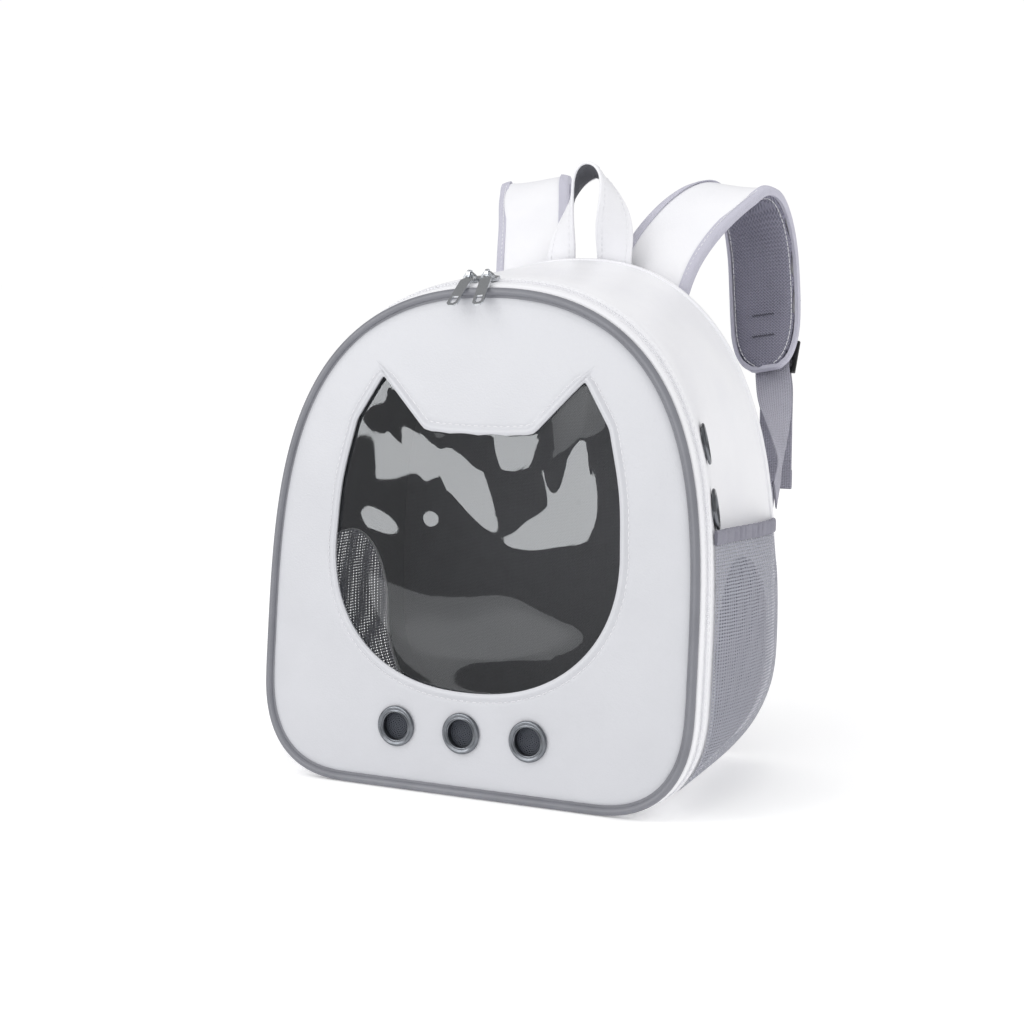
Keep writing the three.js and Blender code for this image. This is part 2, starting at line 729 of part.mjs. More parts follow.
// A point of the right side on a row of the body's loop, counted up from the flat bottom
function rowPoint(share, row, standOff) {
  const loop = bodyLoop(share, -standOff);
  const whole = Math.floor(row);
  return loop[FLAT_END + whole].clone().lerp(loop[FLAT_END + whole + 1], row - whole);
}

function rowAtHeight(share, height) {
  const loop = bodyLoop(share, 0);
  let row = 0;
  while (loop[FLAT_END + row + 1].z < height) row += 1;
  const [below, above] = [loop[FLAT_END + row], loop[FLAT_END + row + 1]];
  return row + (height - below.z) / (above.z - below.z);
}

function pocketMouth(share) {
  const along = (share - POCKET_SHARES[0]) / (POCKET_SHARES.at(-1) - POCKET_SHARES[0]);
  const top = POCKET.topFront + (POCKET.topRear - POCKET.topFront) * along;
  return { along, row: rowAtHeight(share, top), bandRow: rowAtHeight(share, top + BINDING_HEIGHT) };
}

const pocketRowCount = POCKET.lastRow - POCKET.firstRow + 1;

function sidePocket() {
  return sheet(pocketRowCount, POCKET_SHARES.length - 1, (up, across, face) => {
    const share = POCKET_SHARES[Math.round(across * (POCKET_SHARES.length - 1))];
    const step = Math.round(up * pocketRowCount);
    const mouth = pocketMouth(share);
    const row = step === pocketRowCount ? mouth.row : POCKET.firstRow + step;
    const bulge = step === pocketRowCount ? POCKET.mouthBulge : POCKET.bulge;
    const swell = Math.sin(Math.PI * mouth.along) ** 0.75 * Math.sin(Math.PI / 2 * Math.min(1, up * 1.5)) ** 0.8;
    return rowPoint(share, row, POCKET.clear + bulge * swell + face * POCKET.thick);
  });
}

// The gathered elastic band along the mouth of the pocket
function pocketBinding() {
  const start = 0.05;
  return sheet(1, POCKET_SHARES.length - 1, (up, across, face) => {
    const share = POCKET_SHARES[Math.round(across * (POCKET_SHARES.length - 1))];
    const mouth = pocketMouth(share);
    const swell = POCKET.mouthBulge * Math.sin(Math.PI * mouth.along) ** 0.75;
    const row = up === 0 ? mouth.row + start : mouth.bandRow;
    return rowPoint(share, row, POCKET.clear + swell + face * BINDING_THICK);
  });
}

// Bands along a path

// A flat band through table rows; each row gives the middle, the width's direction and the thickness' direction
function band(rows, thick, bottom = 0) {
  return loft(rows.map(({ middle, across, out, width }) => {
    const corner = (side, up) => middle.clone()
      .addScaledVector(across, (side * width) / 2)
      .addScaledVector(out, bottom + up * thick);
    return [corner(-1, 0), corner(1, 0), corner(1, 1), corner(-1, 1)];
  }));
}

function pathTangents(points) {
  return points.map((_, i) => {
    const before = points[Math.max(i - 1, 0)];
    const after = points[Math.min(i + 1, points.length - 1)];
    return after.clone().sub(before).normalize();
  });
}

// Frames whose width stays near the X axis, lowered on the outer side by droop
function bandFrames(points, widths, droops) {
  const tangents = pathTangents(points);
  return points.map((middle, i) => {
    const droop = THREE.MathUtils.degToRad(droops[i]);
    const wanted = new THREE.Vector3(Math.cos(droop), 0, -Math.sin(droop));
    const out = wanted.clone().cross(tangents[i]).normalize();
    const across = tangents[i].clone().cross(out).normalize();
    return { middle, across, out, width: widths[i] };
  });
}

const strapSeam = backFace + HANDLE_THICK + STRAP_COVER_THICK + STRAP_PAD_THICK + 5 * GAP;

function strapRows(lift) {
  const crest = Math.max(...STRAP_SECTIONS.map(({ rise }) => rise));
  const foot = STRAP_SECTIONS[2].rise;
  const lifted = (rise) => rise + lift * THREE.MathUtils.clamp((rise - foot) / (crest - foot), 0, 1);
  const points = STRAP_SECTIONS.map(({ x, back, rise }) => (
    new THREE.Vector3(x, strapSeam + back, REAR_OUTLINE.height + lifted(rise))
  ));
  const widths = STRAP_SECTIONS.map(({ width }) => width);
  const droops = STRAP_SECTIONS.map(({ droop }) => droop);
  return bandFrames(points, widths, droops);
}

function carryHandle() {
  const y = backFace + GAP + HANDLE_THICK / 2;
  const points = HANDLE_SECTIONS.map(({ x, rise }) => new THREE.Vector3(x, y, REAR_OUTLINE.height + rise));
  const tangents = pathTangents(points);
  const rows = points.map((middle, i) => {
    const { width, turn } = HANDLE_SECTIONS[i];
    const angle = THREE.MathUtils.degToRad(turn);
    const flat = new THREE.Vector3(0, 1, 0).cross(tangents[i]).normalize();
    const across = flat.multiplyScalar(Math.cos(angle)).addScaledVector(new THREE.Vector3(0, 1, 0), Math.sin(angle));
    const out = across.clone().cross(tangents[i]).normalize();
    return { middle, across, out, width };
  });
  return band(rows, HANDLE_THICK, -HANDLE_THICK / 2);
}

// Webbing of the right strap

const lockHeight = REAR_OUTLINE.height + LOCK_PLACE.rise;
const lockCentre = new THREE.Vector3(LOCK_PLACE.x, strapSeam + LOCK_PLACE.back, lockHeight);
const lockTilt = THREE.MathUtils.degToRad(LOCK_PLACE.tilt);

// A point in the lock's own frame: side along its width, out away from the bag, up along its length
function inLock(side, out, up) {
  const back = out * Math.cos(lockTilt) + up * Math.sin(lockTilt);
  const rise = up * Math.cos(lockTilt) - out * Math.sin(lockTilt);
  return new THREE.Vector3(side, back, rise).add(lockCentre);
}

function lockBox(side, out, up, sideSize, outSize, upSize) {
  const corners = [[-1, -1], [1, -1], [1, 1], [-1, 1]];
  return loft([-1, 1].map((end) => corners.map(([a, b]) => (
    inLock(side + (end * sideSize) / 2, out + (a * outSize) / 2, up + (b * upSize) / 2)
  ))));
}

const lockPitch = LOCK.bar + LOCK.window;

function ladderLock() {
  const cheekWidth = (LOCK.width - LOCK.slot) / 2;
  const height = 2 * lockPitch + LOCK.bar;
  const bars = [1, 0, -1].map((row) => lockBox(0, 0, row * lockPitch, LOCK.slot + 1, LOCK.thick, LOCK.bar));
  const cheeks = [-1, 1].map((side) => (
    lockBox(side * (LOCK.slot / 2 + cheekWidth / 2), 0, 0, cheekWidth, LOCK.thick, height)
  ));
  return join(...bars, ...cheeks);
}

function webbingBand(points) {
  const widths = points.map(() => WEBBING_WIDTH);
  const droops = points.map(() => 0);
  return band(bandFrames(points, widths, droops), WEBBING_THICK, -WEBBING_THICK / 2);
}

// Short webbing, sewn on the strap's outer face, that wraps the lock's top bar
function lockTab() {
  const clear = LOCK.thick / 2 + WEBBING_SLACK + WEBBING_THICK / 2;
  const reach = LOCK.bar / 2 + WEBBING_SLACK + WEBBING_THICK / 2;
  const points = [
    inLock(0, -clear, lockPitch + LOCK_TAB_LENGTH),
    inLock(0, -clear, lockPitch + LOCK_TAB_LENGTH / 2),
    inLock(0, -clear, lockPitch),
    inLock(0, -clear * 0.95, lockPitch - reach * 0.95),
    inLock(0, 0, lockPitch - reach),
    inLock(0, clear * 0.95, lockPitch - reach * 0.95),
    inLock(0, clear, lockPitch),
    inLock(0, clear, lockPitch + LOCK.bar * 2.4),
  ];
  return webbingBand(points);
}

// The tab stands on the rear edge of the side, in an upright plane that turns inwards
const anchorEdge = sidePoint(1, ANCHOR.z, 0).add(new THREE.Vector3(-ANCHOR.inset, 0, 0)).setY(backFace - ANCHOR.sink);
const anchorAlong = new THREE.Vector3(-0.2, 0.98, 0);
const anchorFace = new THREE.Vector3(0.98, 0.2, 0);

function anchorTab() {
  const { base, reach, rise, thick } = ANCHOR;
  const solid = extrude([[0, -base / 2], [reach, rise], [0, base / 2]], thick);
  const frame = new THREE.Matrix4().makeBasis(anchorAlong, new THREE.Vector3(0, 0, 1), anchorFace);
  frame.setPosition(anchorEdge);
  solid.applyMatrix4(frame);
  return fromManifold(toManifold(solid));
}

// Adjusting webbing: from the anchor tab, turning flat on its way up to the lock, over the lock's
// middle bar, and down as the free end
function strapWebbing() {
  const clear = LOCK.thick / 2 + WEBBING_SLACK + WEBBING_THICK / 2;
  const reach = LOCK.bar / 2 + WEBBING_SLACK + WEBBING_THICK / 2;
  const onTab = (along, rise) => anchorEdge.clone()
    .addScaledVector(anchorAlong, along)
    .addScaledVector(anchorFace, ANCHOR.thick + GAP + WEBBING_THICK / 2)
    .add(new THREE.Vector3(0, 0, rise));
  const sewn = onTab(ANCHOR.reach * 0.3, ANCHOR.rise * 0.2);
  const exit = onTab(ANCHOR.reach * 1.4, ANCHOR.rise * 1.5);
  const entry = inLock(0, -clear, -lockPitch);
  const flat = new THREE.Vector3(1, 0, 0);
  const sewnAcross = anchorFace.clone().cross(exit.clone().sub(sewn).normalize()).negate();
  const rows = [{ middle: sewn, across: sewnAcross }];
  [0, 0.2, 0.4, 0.6, 0.8, 1].forEach((share) => rows.push({
    middle: exit.clone().lerp(entry, share),
    across: sewnAcross.clone().lerp(flat, share).normalize(),
  }));
  const hang = new THREE.Vector3(lockCentre.x + 1, inLock(0, clear, -lockPitch).y + 1.5, 0);
  [
    inLock(0, -clear, 0),
    inLock(0, -clear * 0.95, reach * 0.95),
    inLock(0, 0, reach),
    inLock(0, clear * 0.95, reach * 0.95),
    inLock(0, clear, 0),
    inLock(0, clear, -lockPitch),
    hang.clone().setZ(lockCentre.z - 24),
    hang.clone().setZ((lockCentre.z + FREE_END_Z) / 2),
    hang.clone().setZ(FREE_END_Z),
  ].forEach((middle) => rows.push({ middle, across: flat }));
  const tangents = pathTangents(rows.map(({ middle }) => middle));
  const framed = rows.map(({ middle, across }, i) => {
    const out = across.clone().cross(tangents[i]).normalize();
    return { middle, across: tangents[i].clone().cross(out).normalize(), out, width: WEBBING_WIDTH };
  });
  return band(framed, WEBBING_THICK, -WEBBING_THICK / 2);
}

// Zip sliders

// The chain's outer surface under a slider: a point, its slope along X and its pitch along Y
function chainTop(x) {
  const loop = frontLoop(zipStart + ZIP_WIDTH / 2, -ZIP_PROUD);
  const top = FLAT_END + CORNER_STEPS + ARCH_STEPS;
  let i = x < 0 ? top : top - 1;
  while (x < 0 && loop[i + 1].x > x) i += 1;
  const [a, b] = [loop[i], loop[i + 1]];
  const point = a.clone().lerp(b, (x - a.x) / (b.x - a.x));
  const [near, far] = [0, ZIP_WIDTH].map((depth) => frontLoop(zipStart + depth, -ZIP_PROUD)[top]);
  return { point, slope: Math.atan2(a.z - b.z, a.x - b.x), pitch: Math.atan2(far.z - near.z, far.y - near.y) };
}

function sliderBody() {
  const { length, width, thick, bridgeSpan, bridgeRise, bar, barWide, barForward } = SLIDER;
  const half = length / 2;
  const nose = width * 0.28;
  const plan = [[-half, -nose], [-half * 0.2, -width / 2], [half, -width / 2], [half, width / 2],
    [-half * 0.2, width / 2], [-half, nose]];
  const base = extrude(plan, thick);
  const outer = bridgeSpan / 2;
  const chamfer = bridgeRise * 0.5;
  const arch = [[-outer, 0], [outer, 0], [outer, bridgeRise - chamfer], [outer - chamfer, bridgeRise],
    [-outer + chamfer, bridgeRise], [-outer, bridgeRise - chamfer]];
  const opening = [[-outer + bar, -1], [outer - bar, -1], [outer - bar, bridgeRise - chamfer * 0.9 - bar * 0.2],
    [outer - chamfer, bridgeRise - bar], [-outer + chamfer, bridgeRise - bar],
    [-outer + bar, bridgeRise - chamfer * 0.9 - bar * 0.2]];
  const upright = (points, wide) => extrude(points, wide).rotateX(Math.PI / 2)
    .translate(0, wide / 2 - barForward, thick - 0.01);
  const bridge = cut(upright(arch, barWide), [upright(opening, barWide * 3)]);
  return join(base, bridge);
}

// The pull lies along its own +Y from the eye, whose bore is along X
function zipPull() {
  const { length, width, thick, eyeWide, eyeOuter, eyeBore, neck, slot, slotLength } = PULL;
  const eye = extrude(circlePoints(0, 0, eyeOuter, 12), eyeWide).rotateY(Math.PI / 2).translate(-eyeWide / 2, 0, 0);
  const start = eyeOuter * 0.8;
  const plan = [[-eyeWide / 2, start], [eyeWide / 2, start], [eyeWide / 2, neck], [width / 2, neck + 2.6],
    [width / 2, length - 2], [width / 2 - 2, length], [-width / 2 + 2, length], [-width / 2, length - 2],
    [-width / 2, neck + 2.6], [-eyeWide / 2, neck]];
  const tab = extrude(plan, thick).translate(0, 0, -thick / 2);
  const slotEnd = length - 2.2;
  const hole = [[-slot / 2, slotEnd - slotLength], [slot / 2, slotEnd - slotLength], [slot / 2, slotEnd - 1.4],
    [slot / 2 - 1.4, slotEnd], [-slot / 2 + 1.4, slotEnd], [-slot / 2, slotEnd - 1.4]];
  const holeTool = extrude(hole, 4 * thick).translate(0, 0, -2 * thick);
  const bore = extrude(circlePoints(0, 0, eyeBore, 12), 3 * eyeWide).rotateY(Math.PI / 2)
    .translate(-1.5 * eyeWide, 0, 0);
  return cut(join(eye, tab), [holeTool, bore]);
}

const bridgeHeight = SLIDER.thick - 0.01 + SLIDER.bridgeRise - SLIDER.bar / 2;

function addSlider({ name, x, skew }) {
  const { point, slope, pitch } = chainTop(x);
  const holder = new THREE.Group();
  holder.position.copy(point).add(new THREE.Vector3(0, 0, GAP + 0.15));
  door.add(holder);
  const slider = name === 'right' ? mirrored(sliderBody()) : sliderBody();
  slider.rotateY(-slope).rotateX(pitch);
  addPiece(holder, `zip_slider_${name}`, fromManifold(toManifold(slider)), finish(STEEL, 0.25, 0.95));
  const pull = zipPull();
  pull.rotateZ(THREE.MathUtils.degToRad(skew) + Math.PI);
  pull.rotateX(PULL_HANG);
  const bar = new THREE.Vector3(0, -SLIDER.barForward, bridgeHeight).applyEuler(new THREE.Euler(pitch, 0, 0));
  pull.translate(bar.x, bar.y, bar.z);
  addPiece(holder, `zip_pull_${name}`, pull, finish(STEEL, 0.22, 0.95));
}

// Assembly

const whiteSkin = finish(WHITE, 0.45);
const panelSkin = finish(PANEL_WHITE, 0.4);
const piping = finish(PIPING_GREY, 0.5);
const lining = finish(LINING_GREY, 0.85);
const net = finish(MESH_GREY, 0.85);
const webbing = finish(WEBBING_GREY, 0.8);

addPiece(door, 'front_panel', frontPanel(), panelSkin);
addPiece(door, 'front_window', frontWindow(), finish(CLEAR, 0.08));
addPiece(door, 'front_piping', frontPiping(), piping);
addPiece(door, 'door_rim', loft(stripSections(rimStart, RIM_WIDTH, 0, STRIP_WALL), true), whiteSkin);
addPiece(door, 'zip_chain', loft(
  stripSections(zipStart, ZIP_WIDTH, -ZIP_PROUD, STRIP_WALL).slice(FLAT_END, FLAT_RESTART + 1),
), whiteSkin);
addPiece(door, 'door_hinge', doorHinge(), whiteSkin);
addPiece(door, 'gusset_strip', loft(stripSections(gussetStripStart, GUSSET_STRIP_WIDTH, 0, STRIP_WALL), true), whiteSkin);
FRONT_EYELETS.forEach(({ name, x, h }) => {
  const place = onPanel([x, h], PANEL_THICK / 2 + domeAt([x, h]));
  addEyelet(door, name, place, domeNormal(x, h), PANEL_THICK);
});
SLIDER_PLACES.forEach(addSlider);

addPiece(body, 'body_gusset', bodyGusset(), whiteSkin);
addPiece(body, 'base_panel', basePanel(), whiteSkin);
addPiece(body, 'back_panel', rearPlate(0, bodyEnd + GAP, backPanelEdge, backPanelEdge), net);
addPiece(body, 'lining_gusset', liningGusset(), lining);
addPiece(body, 'lining_back', rearPlate(SHELL_WALL + GAP, bodyEnd - LINING_WALL, LINING_WALL, 0), lining);
addPiece(body, 'floor_mat', floorMat(), lining);
sideEyelets.forEach(({ name, place, normal }) => {
  const flip = new THREE.Vector3(-1, 1, 1);
  const wall = SHELL_WALL + SIDE_EYELET_LIFT;
  addEyelet(body, `${name}_right`, place, normal, wall);
  addEyelet(body, `${name}_left`, place.clone().multiply(flip), normal.clone().multiply(flip), wall);
});

function addPair(group, name, geometry, material) {
  addPiece(group, `${name}_right`, geometry, material);
  addPiece(group, `${name}_left`, mirrored(geometry), material);
}

addPair(body, 'side_mesh', sideMesh(), net);
addPair(body, 'side_pocket', sidePocket(), net);
addPair(body, 'pocket_binding', pocketBinding(), piping);

addPiece(carrying, 'carry_handle', carryHandle(), whiteSkin);
[{ side: 'right', lift: 0 }, { side: 'left', lift: LEFT_STRAP_LIFT }].forEach(({ side, lift }) => {
  const place = (geometry) => (side === 'left' ? mirrored(geometry) : geometry);
  const rows = strapRows(lift);
  addPiece(carrying, `strap_pad_${side}`, place(band(rows, STRAP_PAD_THICK)), net);
  addPiece(carrying, `strap_cover_${side}`, place(band(rows, STRAP_COVER_THICK, STRAP_PAD_THICK + GAP)), whiteSkin);
});
addPair(carrying, 'lock_tab', lockTab(), webbing);
addPair(carrying, 'ladder_lock', ladderLock(), finish(BLACK, 0.4));
addPair(carrying, 'strap_webbing', strapWebbing(), webbing);
addPair(carrying, 'anchor_tab', anchorTab(), webbing);

export default part;
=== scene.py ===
import math

import bpy
import bmesh
import numpy as np
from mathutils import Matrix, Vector, noise


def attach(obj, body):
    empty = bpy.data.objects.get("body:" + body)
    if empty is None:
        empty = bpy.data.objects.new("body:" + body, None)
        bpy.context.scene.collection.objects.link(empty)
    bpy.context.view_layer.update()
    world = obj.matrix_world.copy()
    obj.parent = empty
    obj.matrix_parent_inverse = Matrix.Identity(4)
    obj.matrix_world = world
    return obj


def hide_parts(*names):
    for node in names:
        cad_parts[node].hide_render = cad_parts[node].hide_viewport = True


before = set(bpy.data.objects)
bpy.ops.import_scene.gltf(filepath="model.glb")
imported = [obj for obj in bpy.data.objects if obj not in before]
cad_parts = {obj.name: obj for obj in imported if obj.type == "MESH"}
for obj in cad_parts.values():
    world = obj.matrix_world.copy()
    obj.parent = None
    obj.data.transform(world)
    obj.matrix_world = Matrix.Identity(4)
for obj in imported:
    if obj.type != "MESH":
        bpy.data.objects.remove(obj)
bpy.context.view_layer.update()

MM = 0.001

# Sizes of the body in millimetres, as in the frame's source
LEAN = math.radians(6.4)
FRONT = dict(halfWidth=155.5, height=329, widest=72, flatHalf=88, corner=2.5, archX=2.3, archZ=3.5)
FRAME = dict(halfWidth=156, height=336, widest=73, flatHalf=88, corner=2.6, archX=2.3, archZ=3.4)
REAR = dict(halfWidth=147, height=344.5, widest=82, flatHalf=88, corner=1.8, archX=2.3, archZ=2.9)
HALF_DEPTH = 92
BODY_START = 21.9
BODY_END = 86.2
BODY_DEPTH = 64.3
STEPS = (8, 16, 56)
SAG_AT = (0, 0.23, 0.45, 0.72, 1)
SAG_LOW = (0, 1, 2, 3, 0)
SAG_SHOULDER = (0, -9, -8, -4, 0)
HEAD_MIDDLE = (0, 155)
EYELET_SPOTS = [("front_left", -50), ("front_middle", -2), ("front_right", 46)]
EYELET_HEIGHT = 41.5
EYELET_CUT = 10.7
SIDE_WINDOW = dict(middle=8, half=58, foot=26, spring=92, top=153)
SIDES = {"right": np.array([1, 1, 1]), "left": np.array([-1, 1, 1])}


# Loops of the body

def half_outline(size, steps=STEPS):
    flat, corner, arch = steps
    wide, flat_half = size["halfWidth"], size["flatHalf"]
    points = [(flat_half * i / flat, 0) for i in range(flat)]
    for i in range(corner):
        a = math.pi / 2 * i / corner
        across = math.sin(a) ** (2 / size["corner"])
        down = math.cos(a) ** (2 / size["corner"])
        points.append((flat_half + (wide - flat_half) * across, size["widest"] * (1 - down)))
    for i in range(arch + 1):
        a = math.pi / 2 * (i / arch) ** 1.35
        across = max(math.cos(a), 0) ** (2 / size["archX"])
        above = math.sin(a) ** (2 / size["archZ"])
        points.append((wide * across, size["widest"] + (size["height"] - size["widest"]) * above))
    points[-1] = (0, points[-1][1])
    return points


def outline(size, steps=STEPS):
    right = half_outline(size, steps)
    left = [(-x, h) for x, h in right[1:-1][::-1]]
    return np.array(right + left, float)


def loop_normals(points):
    along = np.roll(points, -1, 0) - np.roll(points, 1, 0)
    along /= np.linalg.norm(along, axis=1)[:, None]
    return np.stack([along[:, 1], -along[:, 0]], 1)


def inset(points, distance):
    return points - loop_normals(points) * distance


def blend_sizes(a, b, share):
    return {k: a[k] + (b[k] - a[k]) * share for k in a}


def on_front(points, depth):
    points = np.asarray(points, float)
    x, h = points[..., 0], points[..., 1]
    return np.stack([x, -HALF_DEPTH + depth + h * math.sin(LEAN), h * math.cos(LEAN)], -1)


FRONT_NORMAL = np.array([0, -math.cos(LEAN), math.sin(LEAN)])


def on_panel(points, stand_off):
    return on_front(points, 0) + np.asarray(stand_off)[..., None] * FRONT_NORMAL


def front_loop(depth, inset_by):
    size = blend_sizes(FRONT, FRAME, depth / BODY_START)
    return on_front(inset(outline(size), inset_by), depth)


def smooth_interp(t, at, values, reach=0.09):
    total = 0
    for k in range(-3, 4):
        step = k / 3 * np.minimum(reach, np.minimum(t, 1 - t))
        total = total + np.interp(t + step, at, values)
    return total / 7


def sag_at(share, height):
    shoulder = np.maximum(0, 1 - np.abs(height - 215) / 95)
    low = np.sin(math.pi * np.clip(height / 175, 0, 1))
    smooth = shoulder * shoulder * (3 - 2 * shoulder)
    return smooth_interp(share, SAG_AT, SAG_LOW) * low + smooth_interp(share, SAG_AT, SAG_SHOULDER) * smooth


def body_loop(share, inset_by, rear_trim=0):
    front, rear = outline(FRAME), outline(REAR)
    start = on_front(inset(front, inset_by), BODY_START)
    end2 = inset(rear, inset_by)
    end = np.stack([end2[:, 0], np.full(len(end2), BODY_END - rear_trim), end2[:, 1]], 1)
    place = start + (end - start) * share
    height = front[:, 1] + (rear[:, 1] - front[:, 1]) * share
    place[:, 0] += np.sign(np.round(place[:, 0], 6)) * sag_at(share, height)
    return place


LOOP = len(outline(FRONT))
FLAT_END = STEPS[0]
FLAT_RESTART = LOOP - STEPS[0]
TOP = STEPS[0] + STEPS[1] + STEPS[2]


# Meshes

class Build:
    """Collects points in millimetres, faces and their UVs, then makes one object."""

    def __init__(self):
        self.points, self.faces, self.uvs = [], [], []
        self.count = 0

    def add(self, points, faces, uvs=None):
        points = np.asarray(points, float).reshape(-1, 3)
        faces = [tuple(int(i) + self.count for i in f) for f in faces]
        if uvs is None:
            uvs = [(points[i - self.count][0], points[i - self.count][2]) for f in faces for i in f]
        self.points.append(points)
        self.faces += faces
        self.uvs.append(np.asarray(uvs, float).reshape(-1, 2))
        self.count += len(points)

    def grid(self, points, uv=None, close_rows=False, close_cols=False, caps=False):
        points = np.asarray(points, float)
        rows, cols = points.shape[:2]
        if uv is None:
            across = np.linalg.norm(np.roll(points, -1, 1) - points, axis=2).mean(0)
            along = np.linalg.norm(np.roll(points, -1, 0) - points, axis=2).mean(1)
            u = np.concatenate([[0], np.cumsum(across)])
            v = np.concatenate([[0], np.cumsum(along)])
        r = np.arange(rows if close_rows else rows - 1)
        c = np.arange(cols if close_cols else cols - 1)
        r, c = [m.ravel() for m in np.meshgrid(r, c, indexing="ij")]
        rn, cn = (r + 1) % rows, (c + 1) % cols
        faces = np.stack([r * cols + c, r * cols + cn, rn * cols + cn, rn * cols + c], 1)
        if uv is None:
            spots = ((c, r), (c + 1, r), (c + 1, r + 1), (c, r + 1))
            corner = [np.stack([u[a], v[b]], 1) for a, b in spots]
        else:
            flat = np.asarray(uv, float).reshape(-1, 2)
            corner = [flat[faces[:, k]] for k in range(4)]
        uvs = np.stack(corner, 1).reshape(-1, 2)
        faces = faces.tolist()
        if caps:
            faces += [list(range(cols)), list(range((rows - 1) * cols, rows * cols))]
            ends = points.reshape(-1, 3)
            middle = ends[:cols].mean(0)
            for cap in faces[-2:]:
                uvs = np.concatenate([uvs, [(np.linalg.norm(ends[i] - middle), 0) for i in cap]])
        self.add(points.reshape(-1, 3), faces, uvs)

    def mesh(self, name, mirror=1, weld=0.0):
        mesh = bpy.data.meshes.new(name)
        points = np.concatenate(self.points) * mirror * MM
        mesh.from_pydata(points.tolist(), [], self.faces)
        layer = mesh.uv_layers.new(name="UV")
        layer.data.foreach_set("uv", np.concatenate(self.uvs).ravel())
        work = bmesh.new()
        work.from_mesh(mesh)
        if weld:
            bmesh.ops.remove_doubles(work, verts=work.verts, dist=weld * MM)
        bmesh.ops.recalc_face_normals(work, faces=work.faces)
        work.to_mesh(mesh)
        work.free()
        return mesh

    def object(self, name, material, replaces=(), slot=None, angle=40, mirror=1, weld=0.0):
        mesh = self.mesh(name, mirror, weld)
        mesh.materials.append(material)
        mesh.shade_smooth()
        mesh.set_sharp_from_angle(angle=math.radians(angle))
        obj = linked(name, mesh)
        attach(obj, "carrier")
        if replaces:
            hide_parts(*replaces)
        return obj


def linked(name, data):
    obj = bpy.data.objects.new(name, data)
    bpy.context.collection.objects.link(obj)
    return obj


def path_lengths(points, closed=False):
    steps = np.linalg.norm(np.diff(points, axis=0), axis=1)
    total = np.concatenate([[0], np.cumsum(steps)])
    if closed:
        total = np.append(total, total[-1] + np.linalg.norm(points[0] - points[-1]))
    return total


def resample(points, count, closed=False):
    points = np.asarray(points, float)
    at = path_lengths(points, closed)
    source = np.vstack([points, points[:1]]) if closed else points
    wanted = np.linspace(0, at[-1], count + 1 if closed else count)
    if closed:
        wanted = wanted[:-1]
    return np.stack([np.interp(wanted, at, source[:, k]) for k in range(points.shape[1])], 1)


def spline(rows, per):
    """Catmull-Rom through table rows."""
    rows = np.asarray(rows, float)
    before = np.vstack([2 * rows[0] - rows[1], rows, 2 * rows[-1] - rows[-2]])
    out = []
    for i in range(len(rows) - 1):
        p0, p1, p2, p3 = before[i:i + 4]
        for k in range(per):
            t = k / per
            out.append(0.5 * (2 * p1 + (p2 - p0) * t + (2 * p0 - 5 * p1 + 4 * p2 - p3) * t ** 2
                              + (3 * p1 - p0 - 3 * p2 + p3) * t ** 3))
    out.append(rows[-1])
    return np.array(out)


def unit(v):
    v = np.asarray(v, float)
    return v / np.maximum(np.linalg.norm(v, axis=-1, keepdims=True), 1e-9)


def tangents(points):
    return unit(np.gradient(points, axis=0))


def swept(build, middles, across, out, profiles):
    """profiles is one list of (side, up) pairs, or one list for each station."""
    profiles = np.asarray(profiles, float)
    if profiles.ndim == 2:
        profiles = np.broadcast_to(profiles, (len(middles), *profiles.shape))
    points = middles[:, None] + across[:, None] * profiles[..., :1] + out[:, None] * profiles[..., 1:]
    build.grid(points, close_cols=True, caps=True)


def circle(radius, sides):
    return [(math.cos(2 * math.pi * k / sides) * radius, math.sin(2 * math.pi * k / sides) * radius)
            for k in range(sides)]


def tube(build, path, radius, sides=8, up=(0, 0, 1)):
    path = np.asarray(path, float)
    t = tangents(path)
    out = unit(np.asarray(up, float) - t * (t @ np.asarray(up, float))[:, None])
    swept(build, path, np.cross(t, out), out, circle(radius, sides))


def stitch_row(build, path, normals, length=3.0, gap=1.3, radius=0.28, lift=0.1, closed=False):
    """Thread lying on a seam: short rounded stitches that dip into the cloth at their ends."""
    path = np.asarray(path, float)
    total = path_lengths(path, closed)[-1]
    count = max(2, int(total / (length + gap)))
    fine = resample(path, count * 5 if closed else count * 5 + 1, closed)
    at = np.linspace(0, len(path) - 1, len(fine))
    normal = unit(np.stack([np.interp(at, np.arange(len(path)), normals[:, k]) for k in range(3)], 1))
    dip = (-0.6, 0.2, 0.35, 0.2, -0.6)
    for s in range(count):
        ids = [(s * 5 + k) % len(fine) for k in range(5)]
        run = fine[ids] + normal[ids] * (np.array(dip)[:, None] * radius * 1.6 + lift)
        side = unit(np.cross(tangents(run), normal[ids]))
        swept(build, run, side, normal[ids], circle(radius, 4))


# Materials

def nodes_of(name):
    material = bpy.data.materials.new(name)
    material.use_nodes = True
    tree = material.node_tree
    shader = tree.nodes["Principled BSDF"]
    return material, tree, shader


def add_node(tree, kind, **values):
    node = tree.nodes.new(kind)
    for key, value in values.items():
        if hasattr(node, key):
            setattr(node, key, value)
        else:
            node.inputs[key].default_value = value
    return node


def colour(code):
    value = [int(code[i:i + 2], 16) / 255 for i in (1, 3, 5)]
    return (*[v / 12.92 if v <= 0.04045 else ((v + 0.055) / 1.055) ** 2.4 for v in value], 1)


def mixed(tree, factor, a, b):
    mix = tree.nodes.new("ShaderNodeMix")
    mix.data_type = "RGBA"
    tree.links.new(factor, mix.inputs[0])
    for socket, value in ((mix.inputs[6], a), (mix.inputs[7], b)):
        if isinstance(value, tuple):
            socket.default_value = value
        else:
            tree.links.new(value, socket)
    return mix.outputs[2]


